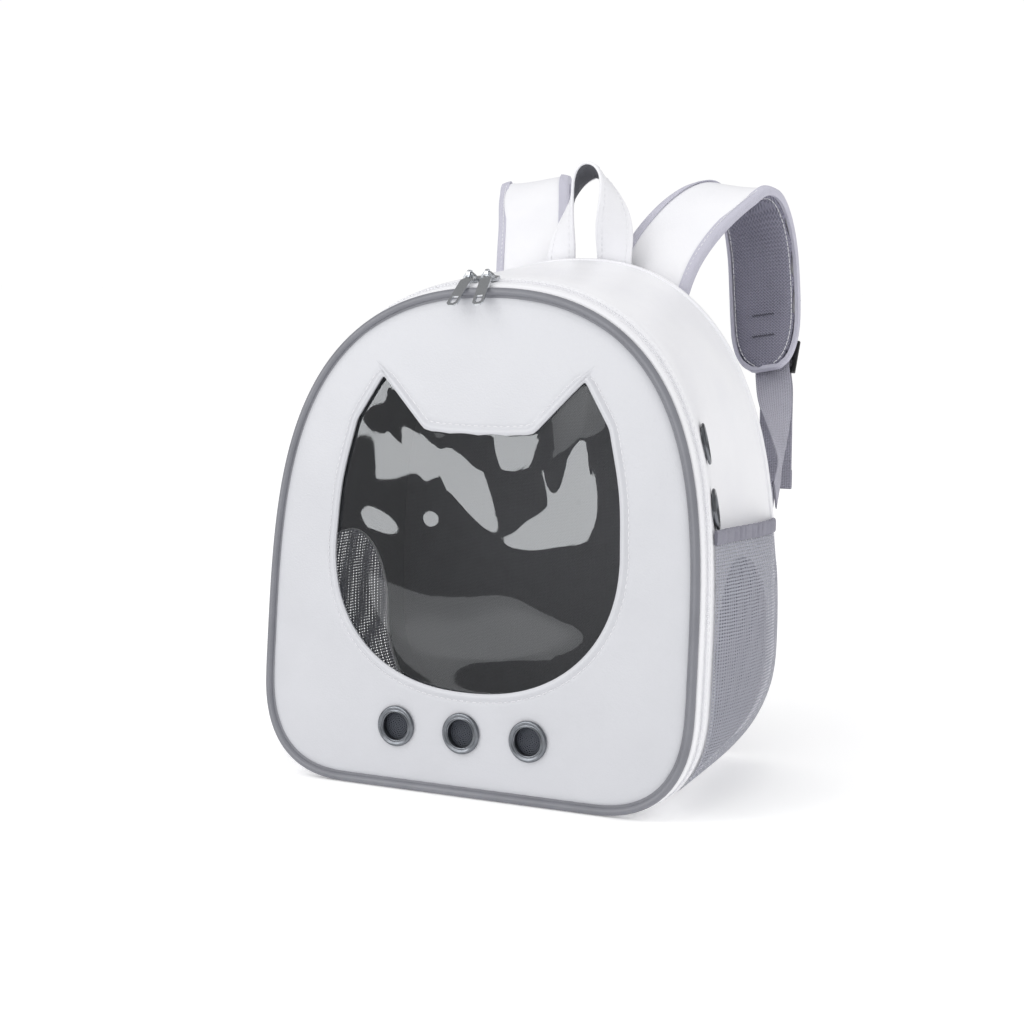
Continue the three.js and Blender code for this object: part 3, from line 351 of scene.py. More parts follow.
def ramp(tree, source, low=0, high=1, start=0, end=1):
    """Maps low to high onto start to end."""
    node = tree.nodes.new("ShaderNodeMapRange")
    tree.links.new(source, node.inputs[0])
    for socket, value in zip(node.inputs[1:5], (low, high, start, end)):
        socket.default_value = value
    return node.outputs[0]


def calc(tree, operation, *values):
    """A math node, fed with numbers and with other nodes' outputs."""
    node = add_node(tree, "ShaderNodeMath", operation=operation)
    for socket, value in zip(node.inputs, values):
        if isinstance(value, (int, float)):
            socket.default_value = value
        else:
            tree.links.new(value, socket)
    return node.outputs[0]


def bump(tree, shader, height, distance):
    node = add_node(tree, "ShaderNodeBump", Strength=1.0, Distance=distance)
    tree.links.new(height, node.inputs["Height"])
    tree.links.new(node.outputs[0], shader.inputs["Normal"])


def coords(tree, uv=False):
    node = tree.nodes.new("ShaderNodeTexCoord")
    return node.outputs["UV" if uv else "Object"]


def texture(tree, kind, source, scale, output=0, **values):
    node = add_node(tree, kind, **values)
    tree.links.new(source, node.inputs["Vector"])
    node.inputs["Scale"].default_value = scale
    return node.outputs[output]


def leather(name, code, dark, rough=0.42, grain=1.1, depth=0.00007):
    """Coated cloth: pebbled grain and soft, slightly uneven colour."""
    material, tree, shader = nodes_of(name)
    place = coords(tree)
    cloud = texture(tree, "ShaderNodeTexNoise", place, 26, Detail=3)
    tint = mixed(tree, ramp(tree, cloud, 0.3, 0.7), colour(code), colour(dark))
    tree.links.new(tint, shader.inputs["Base Color"])
    cells = texture(tree, "ShaderNodeTexVoronoi", place, 1000 / grain)
    fine = texture(tree, "ShaderNodeTexNoise", place, 900, Detail=2)
    bump(tree, shader, calc(tree, "ADD", cells, fine), depth)
    spread = ramp(tree, cloud, 0.2, 0.8, rough - 0.04, rough + 0.06)
    tree.links.new(spread, shader.inputs["Roughness"])
    return material


def along_body(tree):
    """Millimetres across the body, and up or back along it, for a piece that has lost its UVs."""
    split = add_node(tree, "ShaderNodeSeparateXYZ")
    tree.links.new(coords(tree), split.inputs[0])
    joined = add_node(tree, "ShaderNodeCombineXYZ")
    tree.links.new(split.outputs[0], joined.inputs[0])
    tree.links.new(calc(tree, "ADD", split.outputs[1], split.outputs[2]), joined.inputs[1])
    scaled = add_node(tree, "ShaderNodeVectorMath", operation="SCALE")
    scaled.inputs["Scale"].default_value = 1000
    tree.links.new(joined.outputs[0], scaled.inputs[0])
    return scaled.outputs[0]


def woven(name, code, dark, pitch=1.0, ratio=1.0, rough=0.8, depth=0.0002, diagonal=0.0, uv=True):
    """Threads over and under, in the piece's own UVs in millimetres, or else across and along the body."""
    material, tree, shader = nodes_of(name)
    place = coords(tree, uv=True) if uv else along_body(tree)
    turn = add_node(tree, "ShaderNodeMapping")
    turn.inputs["Rotation"].default_value = (0, 0, math.radians(diagonal))
    turn.inputs["Scale"].default_value = (1 / pitch, 1 / (pitch * ratio), 1)
    tree.links.new(place, turn.inputs["Vector"])
    split = add_node(tree, "ShaderNodeSeparateXYZ")
    tree.links.new(turn.outputs[0], split.inputs[0])
    waves = [calc(tree, "SINE", calc(tree, "MULTIPLY_ADD", split.outputs[k], math.pi, 0)) for k in (0, 1)]
    warp, weft = [calc(tree, "ABSOLUTE", wave) for wave in waves]
    over = calc(tree, "GREATER_THAN", calc(tree, "MULTIPLY", *waves), 0)
    first = calc(tree, "MULTIPLY", warp, over)
    second = calc(tree, "MULTIPLY", weft, calc(tree, "SUBTRACT", 1, over))
    height = calc(tree, "ADD", first, second)
    cloud = texture(tree, "ShaderNodeTexNoise", coords(tree), 60, Detail=4)
    spread = calc(tree, "ADD", calc(tree, "MULTIPLY", height, 0.75), calc(tree, "MULTIPLY", cloud, 0.35))
    tint = mixed(tree, ramp(tree, spread, 0.1, 0.85), colour(dark), colour(code))
    tree.links.new(tint, shader.inputs["Base Color"])
    bump(tree, shader, height, depth)
    shader.inputs["Roughness"].default_value = rough
    return material


def metal(name, code, dark, rough=0.25, brushed=False):
    material, tree, shader = nodes_of(name)
    stretch = add_node(tree, "ShaderNodeMapping")
    stretch.inputs["Scale"].default_value = (1, 1, 0.06) if brushed else (1, 1, 1)
    tree.links.new(coords(tree), stretch.inputs["Vector"])
    cloud = texture(tree, "ShaderNodeTexNoise", stretch.outputs[0], 1500 if brushed else 300, Detail=4)
    tree.links.new(mixed(tree, cloud, colour(code), colour(dark)), shader.inputs["Base Color"])
    shader.inputs["Metallic"].default_value = 1
    spread = ramp(tree, cloud, start=rough - 0.06, end=rough + 0.12)
    tree.links.new(spread, shader.inputs["Roughness"])
    bump(tree, shader, cloud, 0.00003)
    return material


def plastic(name, code, dark, rough=0.4):
    material, tree, shader = nodes_of(name)
    cloud = texture(tree, "ShaderNodeTexNoise", coords(tree), 240, Detail=3)
    tree.links.new(mixed(tree, cloud, colour(code), colour(dark)), shader.inputs["Base Color"])
    fine = texture(tree, "ShaderNodeTexNoise", coords(tree), 2500, Detail=2)
    bump(tree, shader, fine, 0.00003)
    shader.inputs["Roughness"].default_value = rough
    return material


def clear_sheet(name):
    """Clear plastic sheet: mostly see-through, with more shine where it is seen at a slant."""
    material, tree, shader = nodes_of(name)
    weight = add_node(tree, "ShaderNodeLayerWeight", Blend=0.28)
    haze = texture(tree, "ShaderNodeTexNoise", coords(tree), 14, Detail=3)
    alpha = ramp(tree, weight.outputs["Fresnel"], start=0.085, end=0.6)
    tree.links.new(alpha, shader.inputs["Alpha"])
    tree.links.new(mixed(tree, haze, colour("#f4f6f8"), colour("#e8ecef")), shader.inputs["Base Color"])
    shader.inputs["Metallic"].default_value = 1
    shader.inputs["Roughness"].default_value = 0.025
    return material


WHITE = leather("white_skin", "#f1f1f4", "#ececf0", rough=0.42)
PANEL = leather("panel_skin", "#c9cacf", "#cccdd2", rough=0.36, grain=1.3, depth=0.00006)
PIPING = leather("piping_skin", "#808188", "#76777e", rough=0.42, grain=0.9)
BINDING = woven("binding_tape", "#9a99a6", "#74737f", pitch=0.8, rough=0.7, depth=0.00015)
STRAP_BINDING = woven("strap_binding_tape", "#cfcedb", "#b0afbe", pitch=0.8, rough=0.7, depth=0.00012)
LINING = woven("lining_cloth", "#66676d", "#3a3b40", pitch=1.0, rough=0.85, depth=0.00015)
MAT = woven("mat_cloth", "#6e6f76", "#4a4b51", pitch=1.6, rough=0.9, depth=0.0003, uv=False)
SIDE_NET = woven("side_net_yarn", "#a2a3ac", "#7f808a", pitch=0.6, rough=0.8, depth=0.0001)
NET = woven("net_yarn", "#b4b5c0", "#8f909c", pitch=0.6, rough=0.8, depth=0.0001)
AIR_MESH = woven("air_mesh", "#9493a3", "#656473", pitch=1.7, ratio=1.25, rough=0.85, depth=0.0005,
                 diagonal=38, uv=False)
WEBBING = woven("webbing_weave", "#b8b7c4", "#85848f", pitch=1.7, ratio=0.7, rough=0.72, depth=0.0004)
THREAD = woven("thread", "#f4f4f6", "#d8d8de", pitch=0.5, rough=0.6, depth=0.00005)
BAR_THREAD = woven("bar_thread", "#5d5c69", "#474652", pitch=0.4, rough=0.7, depth=0.00005)
TAPE = woven("zip_tape", "#f2f2f5", "#dcdce2", pitch=0.7, rough=0.7, depth=0.00012)
TEETH = plastic("zip_teeth", "#f4f4f6", "#e4e4ea", rough=0.3)
STEEL = metal("brushed_steel", "#e2e4e7", "#bcbfc3", rough=0.2, brushed=True)
GUNMETAL = metal("gunmetal", "#85888d", "#64676c", rough=0.28)
VENT_YARN = plastic("vent_yarn", "#4b505b", "#353943", rough=0.7)
BLACK = plastic("black_plastic", "#1b1b1e", "#121214", rough=0.42)
CLEAR = clear_sheet("clear_plastic")
FLOOR = leather("floor_paper", "#fafafa", "#f9f9f9", rough=0.8, grain=3, depth=0.00001)
FLOOR_SHADER = FLOOR.node_tree.nodes["Principled BSDF"]
FLOOR_SHADER.inputs["Emission Color"].default_value = (1, 1, 1, 1)
FLOOR_SHADER.inputs["Emission Strength"].default_value = 0.2


# Padding

def puffed(obj, voxel=5.0, reach=2.5, low=None, high=None, pressure=4.0, sewn=None):
    """Fills the piece like a pad: a short cloth simulation with pressure, then its seams are pulled in."""
    remesh = obj.modifiers.new("remesh", "REMESH")
    remesh.mode = "VOXEL"
    remesh.voxel_size = voxel * MM
    remesh.use_smooth_shade = True
    apply_modifiers(obj)
    rest = np.array([v.co for v in obj.data.vertices]) / MM
    cloth = obj.modifiers.new("cloth", "CLOTH")
    cloth.settings.use_pressure = True
    cloth.settings.uniform_pressure_force = pressure
    cloth.settings.effector_weights.gravity = 0
    cloth.collision_settings.use_collision = False
    scene = bpy.context.scene
    for number in range(1, 21):
        scene.frame_set(number)
    graph = bpy.context.evaluated_depsgraph_get()
    filled = obj.evaluated_get(graph).to_mesh()
    moved = np.array([v.co for v in filled.vertices]) / MM
    obj.evaluated_get(graph).to_mesh_clear()
    obj.modifiers.clear()
    scene.frame_set(1)
    shift = moved - rest
    far = np.linalg.norm(shift, axis=1, keepdims=True)
    moved = rest + shift * np.minimum(1, reach / np.maximum(far, 1e-6))
    if low is not None:
        moved = np.clip(moved, np.array(low), np.array(high))
    obj.data.vertices.foreach_set("co", (moved * MM).ravel())
    obj.data.update()
    smooth = obj.modifiers.new("smooth", "SUBSURF")
    smooth.levels = smooth.render_levels = 1
    apply_modifiers(obj)
    if sewn:
        pulled = sewn(np.array([v.co for v in obj.data.vertices]) / MM)
        obj.data.vertices.foreach_set("co", (pulled * MM).ravel())
        obj.data.update()
    obj.data.shade_smooth()


# Front panel and window

def head_outline(per=14):
    """The cat-head window: two pointed ears over a round face, from the bottom middle round."""
    ear_base, ear_tip, top = (36.8, 233.5), (72.5, 271), (91, 241)
    right = []
    for i in range(per * 3 + 1):
        a = math.pi / 2 * (1 - i / (per * 3))
        across, down = math.cos(a) ** (2 / 2.25), math.sin(a) ** (2 / 2.25)
        right.append((102.8 * across, 160 - 92 * down))
    cheek = spline([(102.8, 160), (99.9, 200.5), (91, 241)], per)[1:]
    right += [tuple(p) for p in cheek]
    for a, b in ((top, ear_tip), (ear_tip, ear_base)):
        for k in range(1, per + 1):
            t = k / per
            right.append((a[0] + (b[0] - a[0]) * t, a[1] + (b[1] - a[1]) * t))
    right.append((0, 233.5))
    right[0] = (0, right[0][1])
    full = np.array(right + [(-x, h) for x, h in right[1:-1][::-1]], float)
    return full


def rounded(points, passes):
    for _ in range(passes):
        points = 0.5 * points + 0.25 * (np.roll(points, 1, 0) + np.roll(points, -1, 0))
    return points


STATIONS = 420


def by_angle(points, angles):
    """Where a loop crosses rays from the middle of the window."""
    rel = points - np.array(HEAD_MIDDLE)
    turn = np.unwrap(np.arctan2(rel[:, 1], rel[:, 0]))
    if turn[-1] < turn[0]:
        turn, rel = turn[::-1], rel[::-1]
    turn = np.concatenate([turn - 2 * math.pi, turn, turn + 2 * math.pi])
    reach = np.tile(np.linalg.norm(rel, axis=1), 3)
    order = np.argsort(turn)
    r = np.interp(angles, turn[order], reach[order])
    return np.array(HEAD_MIDDLE) + np.stack([np.cos(angles) * r, np.sin(angles) * r], 1)


def distance_to(points, loop):
    flat = np.asarray(points, float).reshape(-1, 2)
    ends = np.roll(loop, -1, 0) - loop
    best = np.full(len(flat), 1e9)
    for a, e in zip(loop, ends):
        t = np.clip(((flat - a) @ e) / max(e @ e, 1e-9), 0, 1)
        best = np.minimum(best, np.linalg.norm(flat - a - t[:, None] * e, axis=1))
    return best.reshape(np.asarray(points).shape[:-1])


PANEL_LOOP = inset(outline(FRONT), 5.3)
HEAD = rounded(head_outline(26), 3)


def dome_at(points):
    return 5 * (1 - np.exp(-distance_to(points, PANEL_LOOP) / 32))


def station_angles():
    """Even angles round the window, with a station on each ear's tip and base."""
    angles = np.linspace(-math.pi / 2, 1.5 * math.pi, STATIONS, endpoint=False)
    for x, h in ((72.5, 271), (36.8, 233.5)):
        for side in (1, -1):
            wanted = math.atan2(h - HEAD_MIDDLE[1], side * x)
            angles[np.argmin(np.abs(angles - wanted))] = wanted
    return angles


def front_panel():
    angles = station_angles()
    outer, inner = by_angle(PANEL_LOOP, angles), by_angle(HEAD, angles)
    near = np.array([0, 0.6, 1.4, 2.4, 3.4, 4.4, 5.2, 6.0, 7.0, 8.4])
    span = np.linalg.norm(outer - inner, axis=1)
    rings = []
    count = 26
    for k in range(count + len(near)):
        if k < len(near):
            share = np.minimum(near[k] / span, 1)
        else:
            start = np.minimum(near[-1] / span, 1)
            share = start + (1 - start) * (k - len(near) + 1) / count
        rings.append(inner + (outer - inner) * share[:, None])
    plan = np.array(rings)
    edge = distance_to(plan, HEAD)
    rim = distance_to(plan, PANEL_LOOP)
    dome = dome_at(plan)
    fold = 1.0 * np.exp(-((edge - 2.4) / 1.8) ** 4)
    groove = -0.3 * np.exp(-((edge - 5.6) / 0.7) ** 2)
    soft = [noise.noise(Vector((x / 34, h / 34, 3.1))) for x, h in plan.reshape(-1, 2)]
    soft = np.array(soft).reshape(edge.shape)
    calm = np.clip(edge / 16, 0, 1) * np.clip(rim / 14, 0, 1)
    tuck = -1.6 * np.exp(-rim / 1.6)
    top = 1 + dome + fold + groove + 0.7 * soft * calm + tuck
    under = -1 + dome
    under[0] = top[0] - 1.5
    points = np.concatenate([on_panel(plan, top), on_panel(plan[::-1], under[::-1])])
    uv = np.concatenate([plan, plan[::-1]])
    build = Build()
    build.grid(points, uv=uv, close_rows=True, close_cols=True)
    obj = build.object("front_panel_skin", PANEL, replaces=["front_panel"], slot="panel_cloth", angle=60)
    middles = [on_panel(np.array([x, EYELET_HEIGHT]), np.array(5.0)) for _, x in EYELET_SPOTS]
    cut_with(obj, [cylinder_at(middle, FRONT_NORMAL, EYELET_CUT, 30) for middle in middles])


def cylinder_at(middle, direction, radius, length, sides=32):
    bpy.ops.mesh.primitive_cylinder_add(vertices=sides, radius=radius * MM, depth=length * MM)
    tool = bpy.context.object
    tool.rotation_mode = "QUATERNION"
    tool.rotation_quaternion = Vector((0, 0, 1)).rotation_difference(Vector(direction))
    tool.location = Vector(np.asarray(middle) * MM)
    return tool


def cut_with(obj, tools):
    for tool in tools:
        modifier = obj.modifiers.new("cut", "BOOLEAN")
        modifier.operation = "DIFFERENCE"
        modifier.solver = "EXACT"
        modifier.object = tool
    apply_modifiers(obj)
    for tool in tools:
        bpy.data.objects.remove(tool)


def apply_modifiers(obj):
    graph = bpy.context.evaluated_depsgraph_get()
    mesh = bpy.data.meshes.new_from_object(obj.evaluated_get(graph), depsgraph=graph)
    old = obj.data
    obj.modifiers.clear()
    obj.data = mesh
    mesh.name = obj.name
    bpy.data.meshes.remove(old)


# Swells of the sheet: middle's side and height, half length, half width, turn in degrees and slope
SWELLS = [
    (-47, 240, 34, 14, -58, 0.075), (-8, 203, 46, 13, -52, 0.085), (72, 222, 46, 20, 82, 0.09),
    (50, 176, 28, 11, 22, 0.08), (70, 128, 34, 12, -14, 0.055), (-74, 172, 30, 12, -16, 0.07),
    (-32, 178, 7, 6, 0, 0.08), (0, 112, 88, 24, -6, -0.05),
]


def sheet_waves(points):
    """How far the sheet swells: each swell leans by its slope and runs out softly above."""
    x, h = points[..., 0], points[..., 1]
    total = np.zeros(x.shape)
    steps = np.linspace(0, 1, 60)
    for mx, mh, half_long, half_wide, turn, slope in SWELLS:
        c, k = math.cos(math.radians(turn)), math.sin(math.radians(turn))
        reach = math.hypot(half_long * k, half_wide * c) + 1
        for step in steps:
            level = mh - 1.6 * reach + 3.2 * reach * step
            along = (x - mx) * c + (level - mh) * k
            across = -(x - mx) * k + (level - mh) * c
            inside = np.exp(-((along / half_long) ** 2 + (across / half_wide) ** 2) ** 2)
            passed = np.clip((h - level) / 2 + 0.5, 0, 1)
            total -= slope * inside * passed * 3.2 * reach / 60
    return total + 0.35 * np.sin(x / 19 + h / 33) + 0.25 * np.sin(h / 15 - x / 40)


def front_window():
    angles = np.linspace(-math.pi / 2, 1.5 * math.pi, 240, endpoint=False)
    loop = by_angle(rounded(inset(HEAD, -5.5), 12), angles)
    middle = np.array(HEAD_MIDDLE)
    shares = np.linspace(1, 0.02, 70)
    plan = np.array([middle + (loop - middle) * s for s in shares])
    x, h = plan[..., 0], plan[..., 1]
    edge = distance_to(plan, HEAD)
    inside = np.array([np.linalg.norm(p - middle, axis=1) for p in plan]) < np.linalg.norm(
        by_angle(HEAD, angles) - middle, axis=1)
    free = np.where(inside, np.clip(edge / 22, 0, 1), 0)
    wave = sheet_waves(plan)
    wave -= wave.mean()
    lift = 1 + dome_at(plan) - 3.2 + free * np.clip(wave, -9, 5)
    build = Build()
    points = on_panel(plan, lift)
    build.grid(points, uv=plan, close_cols=True)
    last = (len(shares) - 1) * 240
    build.faces.append(tuple(range(last, last + 240)))
    build.uvs.append(plan[-1])
    build.object("window_sheet", CLEAR, replaces=["front_window"], slot="clear_sheet", angle=60)


front_panel()
front_window()


def window_stitches():
    loop = resample(rounded(inset(HEAD, -5.6), 3), 300, closed=True)
    path = on_panel(loop, 1 + dome_at(loop) - 0.35)
    build = Build()
    stitch_row(build, path, np.tile(FRONT_NORMAL, (len(path), 1)), 3.4, 1.2, 0.3, closed=True)
    build.object("window_stitches", THREAD, slot="panel_cloth")


window_stitches()


# Piping and strips

def front_piping():
    centres = resample(inset(outline(FRONT), 2.5), STATIONS, closed=True)
    normals = loop_normals(centres)
    rows = [on_front(centres + normals * out, deep) for out, deep in circle(2.55, 14)]
    build = Build()
    build.grid(np.array(rows).transpose(1, 0, 2), close_rows=True, close_cols=True)
    flange_in, flange_out = inset(centres, 1.8), inset(centres, 4.2)
    lip = np.stack([on_front(flange_in, -0.4), on_front(flange_out, -0.2),
                    on_front(flange_out, 1.6), on_front(flange_in, 2.2)], 1)
    build.grid(lip, close_rows=True, close_cols=True)
    build.object("piping_cord", PIPING, replaces=["front_piping"], slot="piping")


front_piping()


def strip(name, start, width, profile, material, replaces, opened=False):
    """profile holds (share of the width, how far it stands out) pairs; a flat underside closes it."""
    rows = []
    for share, out in profile + [(1, -1.6), (0, -1.6)]:
        loop = front_loop(start + width * share, -out)
        if opened:
            loop = loop[FLAT_END:FLAT_RESTART + 1]
        rows.append(resample(loop, STATIONS, closed=not opened))
    build = Build()
    build.grid(np.array(rows).transpose(1, 0, 2), close_rows=not opened, close_cols=True, caps=opened)
    build.object(name, material, replaces=[replaces], slot="white_cloth", angle=55)


# Share of a strip's width, and how far it stands out there
ROLL = [(0, -0.9), (0.03, -0.3), (0.12, 0.1), (0.3, 0.35), (0.55, 0.35), (0.8, 0.15), (0.93, -0.1), (1, -0.6)]
strip("rim_strip", 2.9, 7.2, ROLL, WHITE, "door_rim")
strip("gusset_strip_skin", 15.1, 6.5, ROLL, WHITE, "gusset_strip")
strip("hinge_cloth", 10.25, 4.7, [(0, -0.8), (0.2, -0.3), (0.8, -0.3), (1, -0.8)], TAPE, "door_hinge")


TOOTH_PITCH = 1.25


def zip_chain():
    tape = [(0, -0.3), (0.25, -0.1), (0.3, 0.1), (0.7, 0.1), (0.75, -0.1), (1, -0.3)]
    strip("zip_tape_band", 10.35, 4.5, tape, TAPE, "zip_chain", opened=True)
    build = Build()
    loops = {}
    for depth in (11.3, 12.0, 13.2, 13.9):
        loops[depth] = [front_loop(depth, -out)[FLAT_END:FLAT_RESTART + 1] for out in (0.05, 0.75)]
    count = int(path_lengths(loops[12.0][0])[-1] / TOOTH_PITCH)
    sampled = {d: [resample(p, count * 3) for p in pair] for d, pair in loops.items()}
    for s in range(count - 1):
        near, far = (11.3, 13.2) if s % 2 == 0 else (12.0, 13.9)
        corners = []
        for index in (s * 3, s * 3 + 2):
            for depth in (near, far):
                corners += [sampled[depth][0][index], sampled[depth][1][index]]
        mid = np.mean(corners, 0)
        corners = [mid + (np.array(c) - mid) * 0.92 for c in corners]
        faces = [(0, 1, 3, 2), (4, 6, 7, 5), (0, 4, 5, 1), (2, 3, 7, 6), (1, 5, 7, 3), (0, 2, 6, 4)]
        build.add(corners, faces)
    build.object("zip_coil", TEETH, slot="white_cloth", angle=20)


zip_chain()


def strip_seam(name, depth, out):
    loop = resample(front_loop(depth, -out), 520, closed=True)
    normal = unit(loop - loop.mean(0)) * np.array([1, 0, 1])
    build = Build()
    stitch_row(build, loop, unit(normal), 3.0, 1.2, 0.24, closed=True, lift=0.02)
    build.object(name, THREAD, slot="white_cloth")


strip_seam("rim_stitches", 8.6, 0.1)
strip_seam("gusset_stitches", 16.4, 0.15)


# Soft body

SHARES = np.linspace(0, 1, 34)


def side_noise(points, scale, seed):
    shift = np.array([0, 0, seed])
    return np.array([noise.noise(Vector(p / scale + shift)) for p in points])


def shell(outer, inner, name, material, replaces, slot, grow, radius):
    """The sides and top of the bag, with the openings of both sides cut through."""
    section = np.concatenate([outer, inner[::-1]]).transpose(1, 0, 2)
    build = Build()
    build.grid(section[FLAT_END:FLAT_RESTART + 1], close_cols=True, caps=True)
    obj = build.object(name, material, replaces=[replaces], slot=slot, angle=60)
    tools = [window_prism(mirror, grow) for mirror in SIDES.values()]
    for place, direction in side_eyelets():
        tools += [cylinder_at(place * mirror, direction * mirror, radius, 24) for mirror in SIDES.values()]
    cut_with(obj, tools)


def body_shell():
    outer = np.array([body_loop(s, 0) for s in SHARES])
    inner = np.array([body_loop(s, 2) for s in SHARES])
    normal = unit(outer - inner)
    for i, s in enumerate(SHARES):
        calm = min(1, s / 0.12, (1 - s) / 0.12)
        height = np.clip((outer[i][:, 2] - 20) / 60, 0, 1)
        dent = side_noise(outer[i], 46, 1.7) * 1.0 + side_noise(outer[i], 19, 5.2) * 0.25
        outer[i] += normal[i] * (dent * calm * height)[:, None]
        pinch = -0.9 * (math.exp(-s * BODY_DEPTH / 1.4) + math.exp(-(1 - s) * BODY_DEPTH / 1.4))
        outer[i] += normal[i] * pinch
    shell(outer, inner, "body_skin", WHITE, "body_gusset", "white_cloth", 0, EYELET_CUT)


def window_prism(mirror, grow, steps=26):
    """Cuts a side window: an arch on a straight foot, grown all round."""
    middle, half = SIDE_WINDOW["middle"], SIDE_WINDOW["half"] + grow
    foot, spring = SIDE_WINDOW["foot"] - grow, SIDE_WINDOW["spring"]
    points = [(middle - half, foot), (middle + half, foot)]
    for i in range(steps + 1):
        a = math.pi * i / steps
        rise = SIDE_WINDOW["top"] + grow - spring
        points.append((middle + half * math.cos(a), spring + rise * math.sin(a)))
    build = Build()
    build.grid(np.array([[(x, y, z) for y, z in points] for x in (75, 220)]), close_cols=True, caps=True)
    return linked("prism", build.mesh("prism", mirror))


def side_point(share, height, stand_off):
    loop = body_loop(share, -stand_off)[FLAT_END:TOP]
    return np.array([np.interp(height, loop[:, 2], loop[:, k]) for k in range(3)])


def side_normal(share, height):
    along = side_point(share + 0.02, height, 0) - side_point(share - 0.02, height, 0)
    up = side_point(share, height + 2, 0) - side_point(share, height - 2, 0)
    return unit(np.cross(along, up))


def side_eyelets():
    found = []
    for height in (229.5, 189):
        share = 15 / (side_point(1, height, 0)[1] - side_point(0, height, 0)[1])
        direction = side_normal(share, height)
        found.append((side_point(share, height, 0) + direction * 0.6, direction))
    return found


body_shell()


def box_slab(name, low, high, material, replaces, slot, crown=0.0, cells=(40, 20), edge=1.2):
    """A flat slab with rounded rims and a slight crown."""
    nx, ny = cells
    xs, ys = np.linspace(0, 1, nx + 1), np.linspace(0, 1, ny + 1)
    low, high = np.array(low, float), np.array(high, float)
    rows = []
    for level in (0, 1):
        layer = []
        for v in ys:
            row = []
            for u in xs:
                x, y = low[0] + (high[0] - low[0]) * u, low[1] + (high[1] - low[1]) * v
                rim = min(x - low[0], high[0] - x, y - low[1], high[1] - y)
                round_off = edge * max(0, 1 - rim / edge) ** 2 * 0.8
                z = low[2] + round_off if level == 0 else high[2] - round_off + crown * math.sin(
                    math.pi * u) * math.sin(math.pi * v)
                row.append((x, y, z))
            layer.append(row)
        rows.append(np.array(layer))
    build = Build()
    bottom, top = rows
    build.grid(bottom)
    build.grid(top)
    rim_ids = ([(0, c) for c in range(nx + 1)] + [(r, nx) for r in range(1, ny + 1)]
               + [(ny, c) for c in range(nx - 1, -1, -1)] + [(r, 0) for r in range(ny - 1, 0, -1)])
    loop = np.array([[bottom[i] for i in rim_ids], [top[i] for i in rim_ids]])
    build.grid(loop, close_cols=True)
    return build.object(name, material, replaces=replaces, slot=slot, weld=0.01, angle=50)


box_slab("base_cloth", (-87.9, -70.0, 0), (87.9, 86.2, 2), WHITE, ["base_panel"], "white_cloth", edge=0.5)
box_slab("floor_mat_pad", (-85, -67.1, 2.4), (85, 80.6, 7.3), MAT, ["floor_mat"], "lining", crown=0.5,
         cells=(60, 50), edge=2.2)
puffed(bpy.data.objects["floor_mat_pad"], 4.0, 1.0, (-85, -67, 2.4), (85, 80.5, 8.2))


def rear_sheet(name, insets, ys, material, replaces, slot, rings=26):
    """A plate of the rear outline; ys gives its front and back faces by the distance from the edge."""
    loop = inset(outline(REAR), insets)
    middle = np.array([0, REAR["height"] / 2])
    shares = np.linspace(1, 0.004, rings) ** 0.8
    plan = np.array([middle + (loop - middle) * s for s in shares])
    edge = distance_to(plan, loop)
    front, back = ys(edge, plan)
    near, far = [np.stack([plan[..., 0], y, plan[..., 1]], -1) for y in (front, back)]
    build = Build()
    uv = np.concatenate([plan[::-1], plan])
    build.grid(np.concatenate([far[::-1], near]), uv=uv, close_cols=True, caps=True)
    return build.object(name, material, replaces=replaces, slot=slot, angle=60)


QUILT_UPRIGHTS = (-50, 50)
QUILT_CROSS = 112


def back_shape(edge, plan):
    puff = 1 - np.exp(-edge / 5.0)
    front = np.full(edge.shape, 86.5)
    quilt = np.zeros(edge.shape)
    for line in QUILT_UPRIGHTS:
        quilt -= 0.8 * np.exp(-((plan[..., 0] - line) / 5) ** 2)
    quilt -= 0.8 * np.exp(-((plan[..., 1] - QUILT_CROSS) / 5) ** 2)
    return front, 88.2 + 3.6 * puff + quilt * np.clip(edge / 10, 0, 1)


def quilted(points):
    """Pulls the back of the pad in along its three seams."""
    deep = np.zeros(len(points))
    for line in QUILT_UPRIGHTS:
        deep += 2.4 * np.exp(-((points[:, 0] - line) / 4.5) ** 2)
    deep = np.maximum(deep, 2.4 * np.exp(-((points[:, 2] - QUILT_CROSS) / 4.5) ** 2))
    points[:, 1] -= deep * np.clip((points[:, 1] - 88.5) / 2, 0, 1)
    return points


BACK_PAD = rear_sheet("back_panel_pad", 0.6, back_shape, AIR_MESH, ["back_panel"], "padded_mesh", rings=60)
puffed(BACK_PAD, 4.0, 1.6, (-200, 86.5, 0.5), (200, 94.5, 344), sewn=quilted)
rear_sheet("lining_back_cloth", 2.3, lambda edge, _: (np.full(edge.shape, 85.2), np.full(edge.shape, 86.1)),
           LINING, ["lining_back"], "lining")


def quilt_stitches():
    bpy.context.view_layer.update()
    build = Build()
    runs = [[(x, h) for h in np.linspace(20, 258, 60)] for x in QUILT_UPRIGHTS]
    runs.append([(x, QUILT_CROSS) for x in np.linspace(-134, 134, 60)])
    for run in runs:
        plan = np.array(run, float)
        edge = distance_to(plan, inset(outline(REAR), 0.6))
        _, back = back_shape(edge, plan)
        for i, (x, h) in enumerate(plan):
            hit, place, _, _ = BACK_PAD.ray_cast(Vector((x, 200, h)) * MM, Vector((0, -1, 0)))
            back[i] = place.y / MM if hit else back[i]
        path = np.stack([plan[:, 0], back + 0.15, plan[:, 1]], 1)
        stitch_row(build, path, np.tile([0, 1.0, 0], (len(path), 1)), 3.2, 1.3, 0.3)
    build.object("back_quilt_stitches", BINDING, slot="padded_mesh")


quilt_stitches()


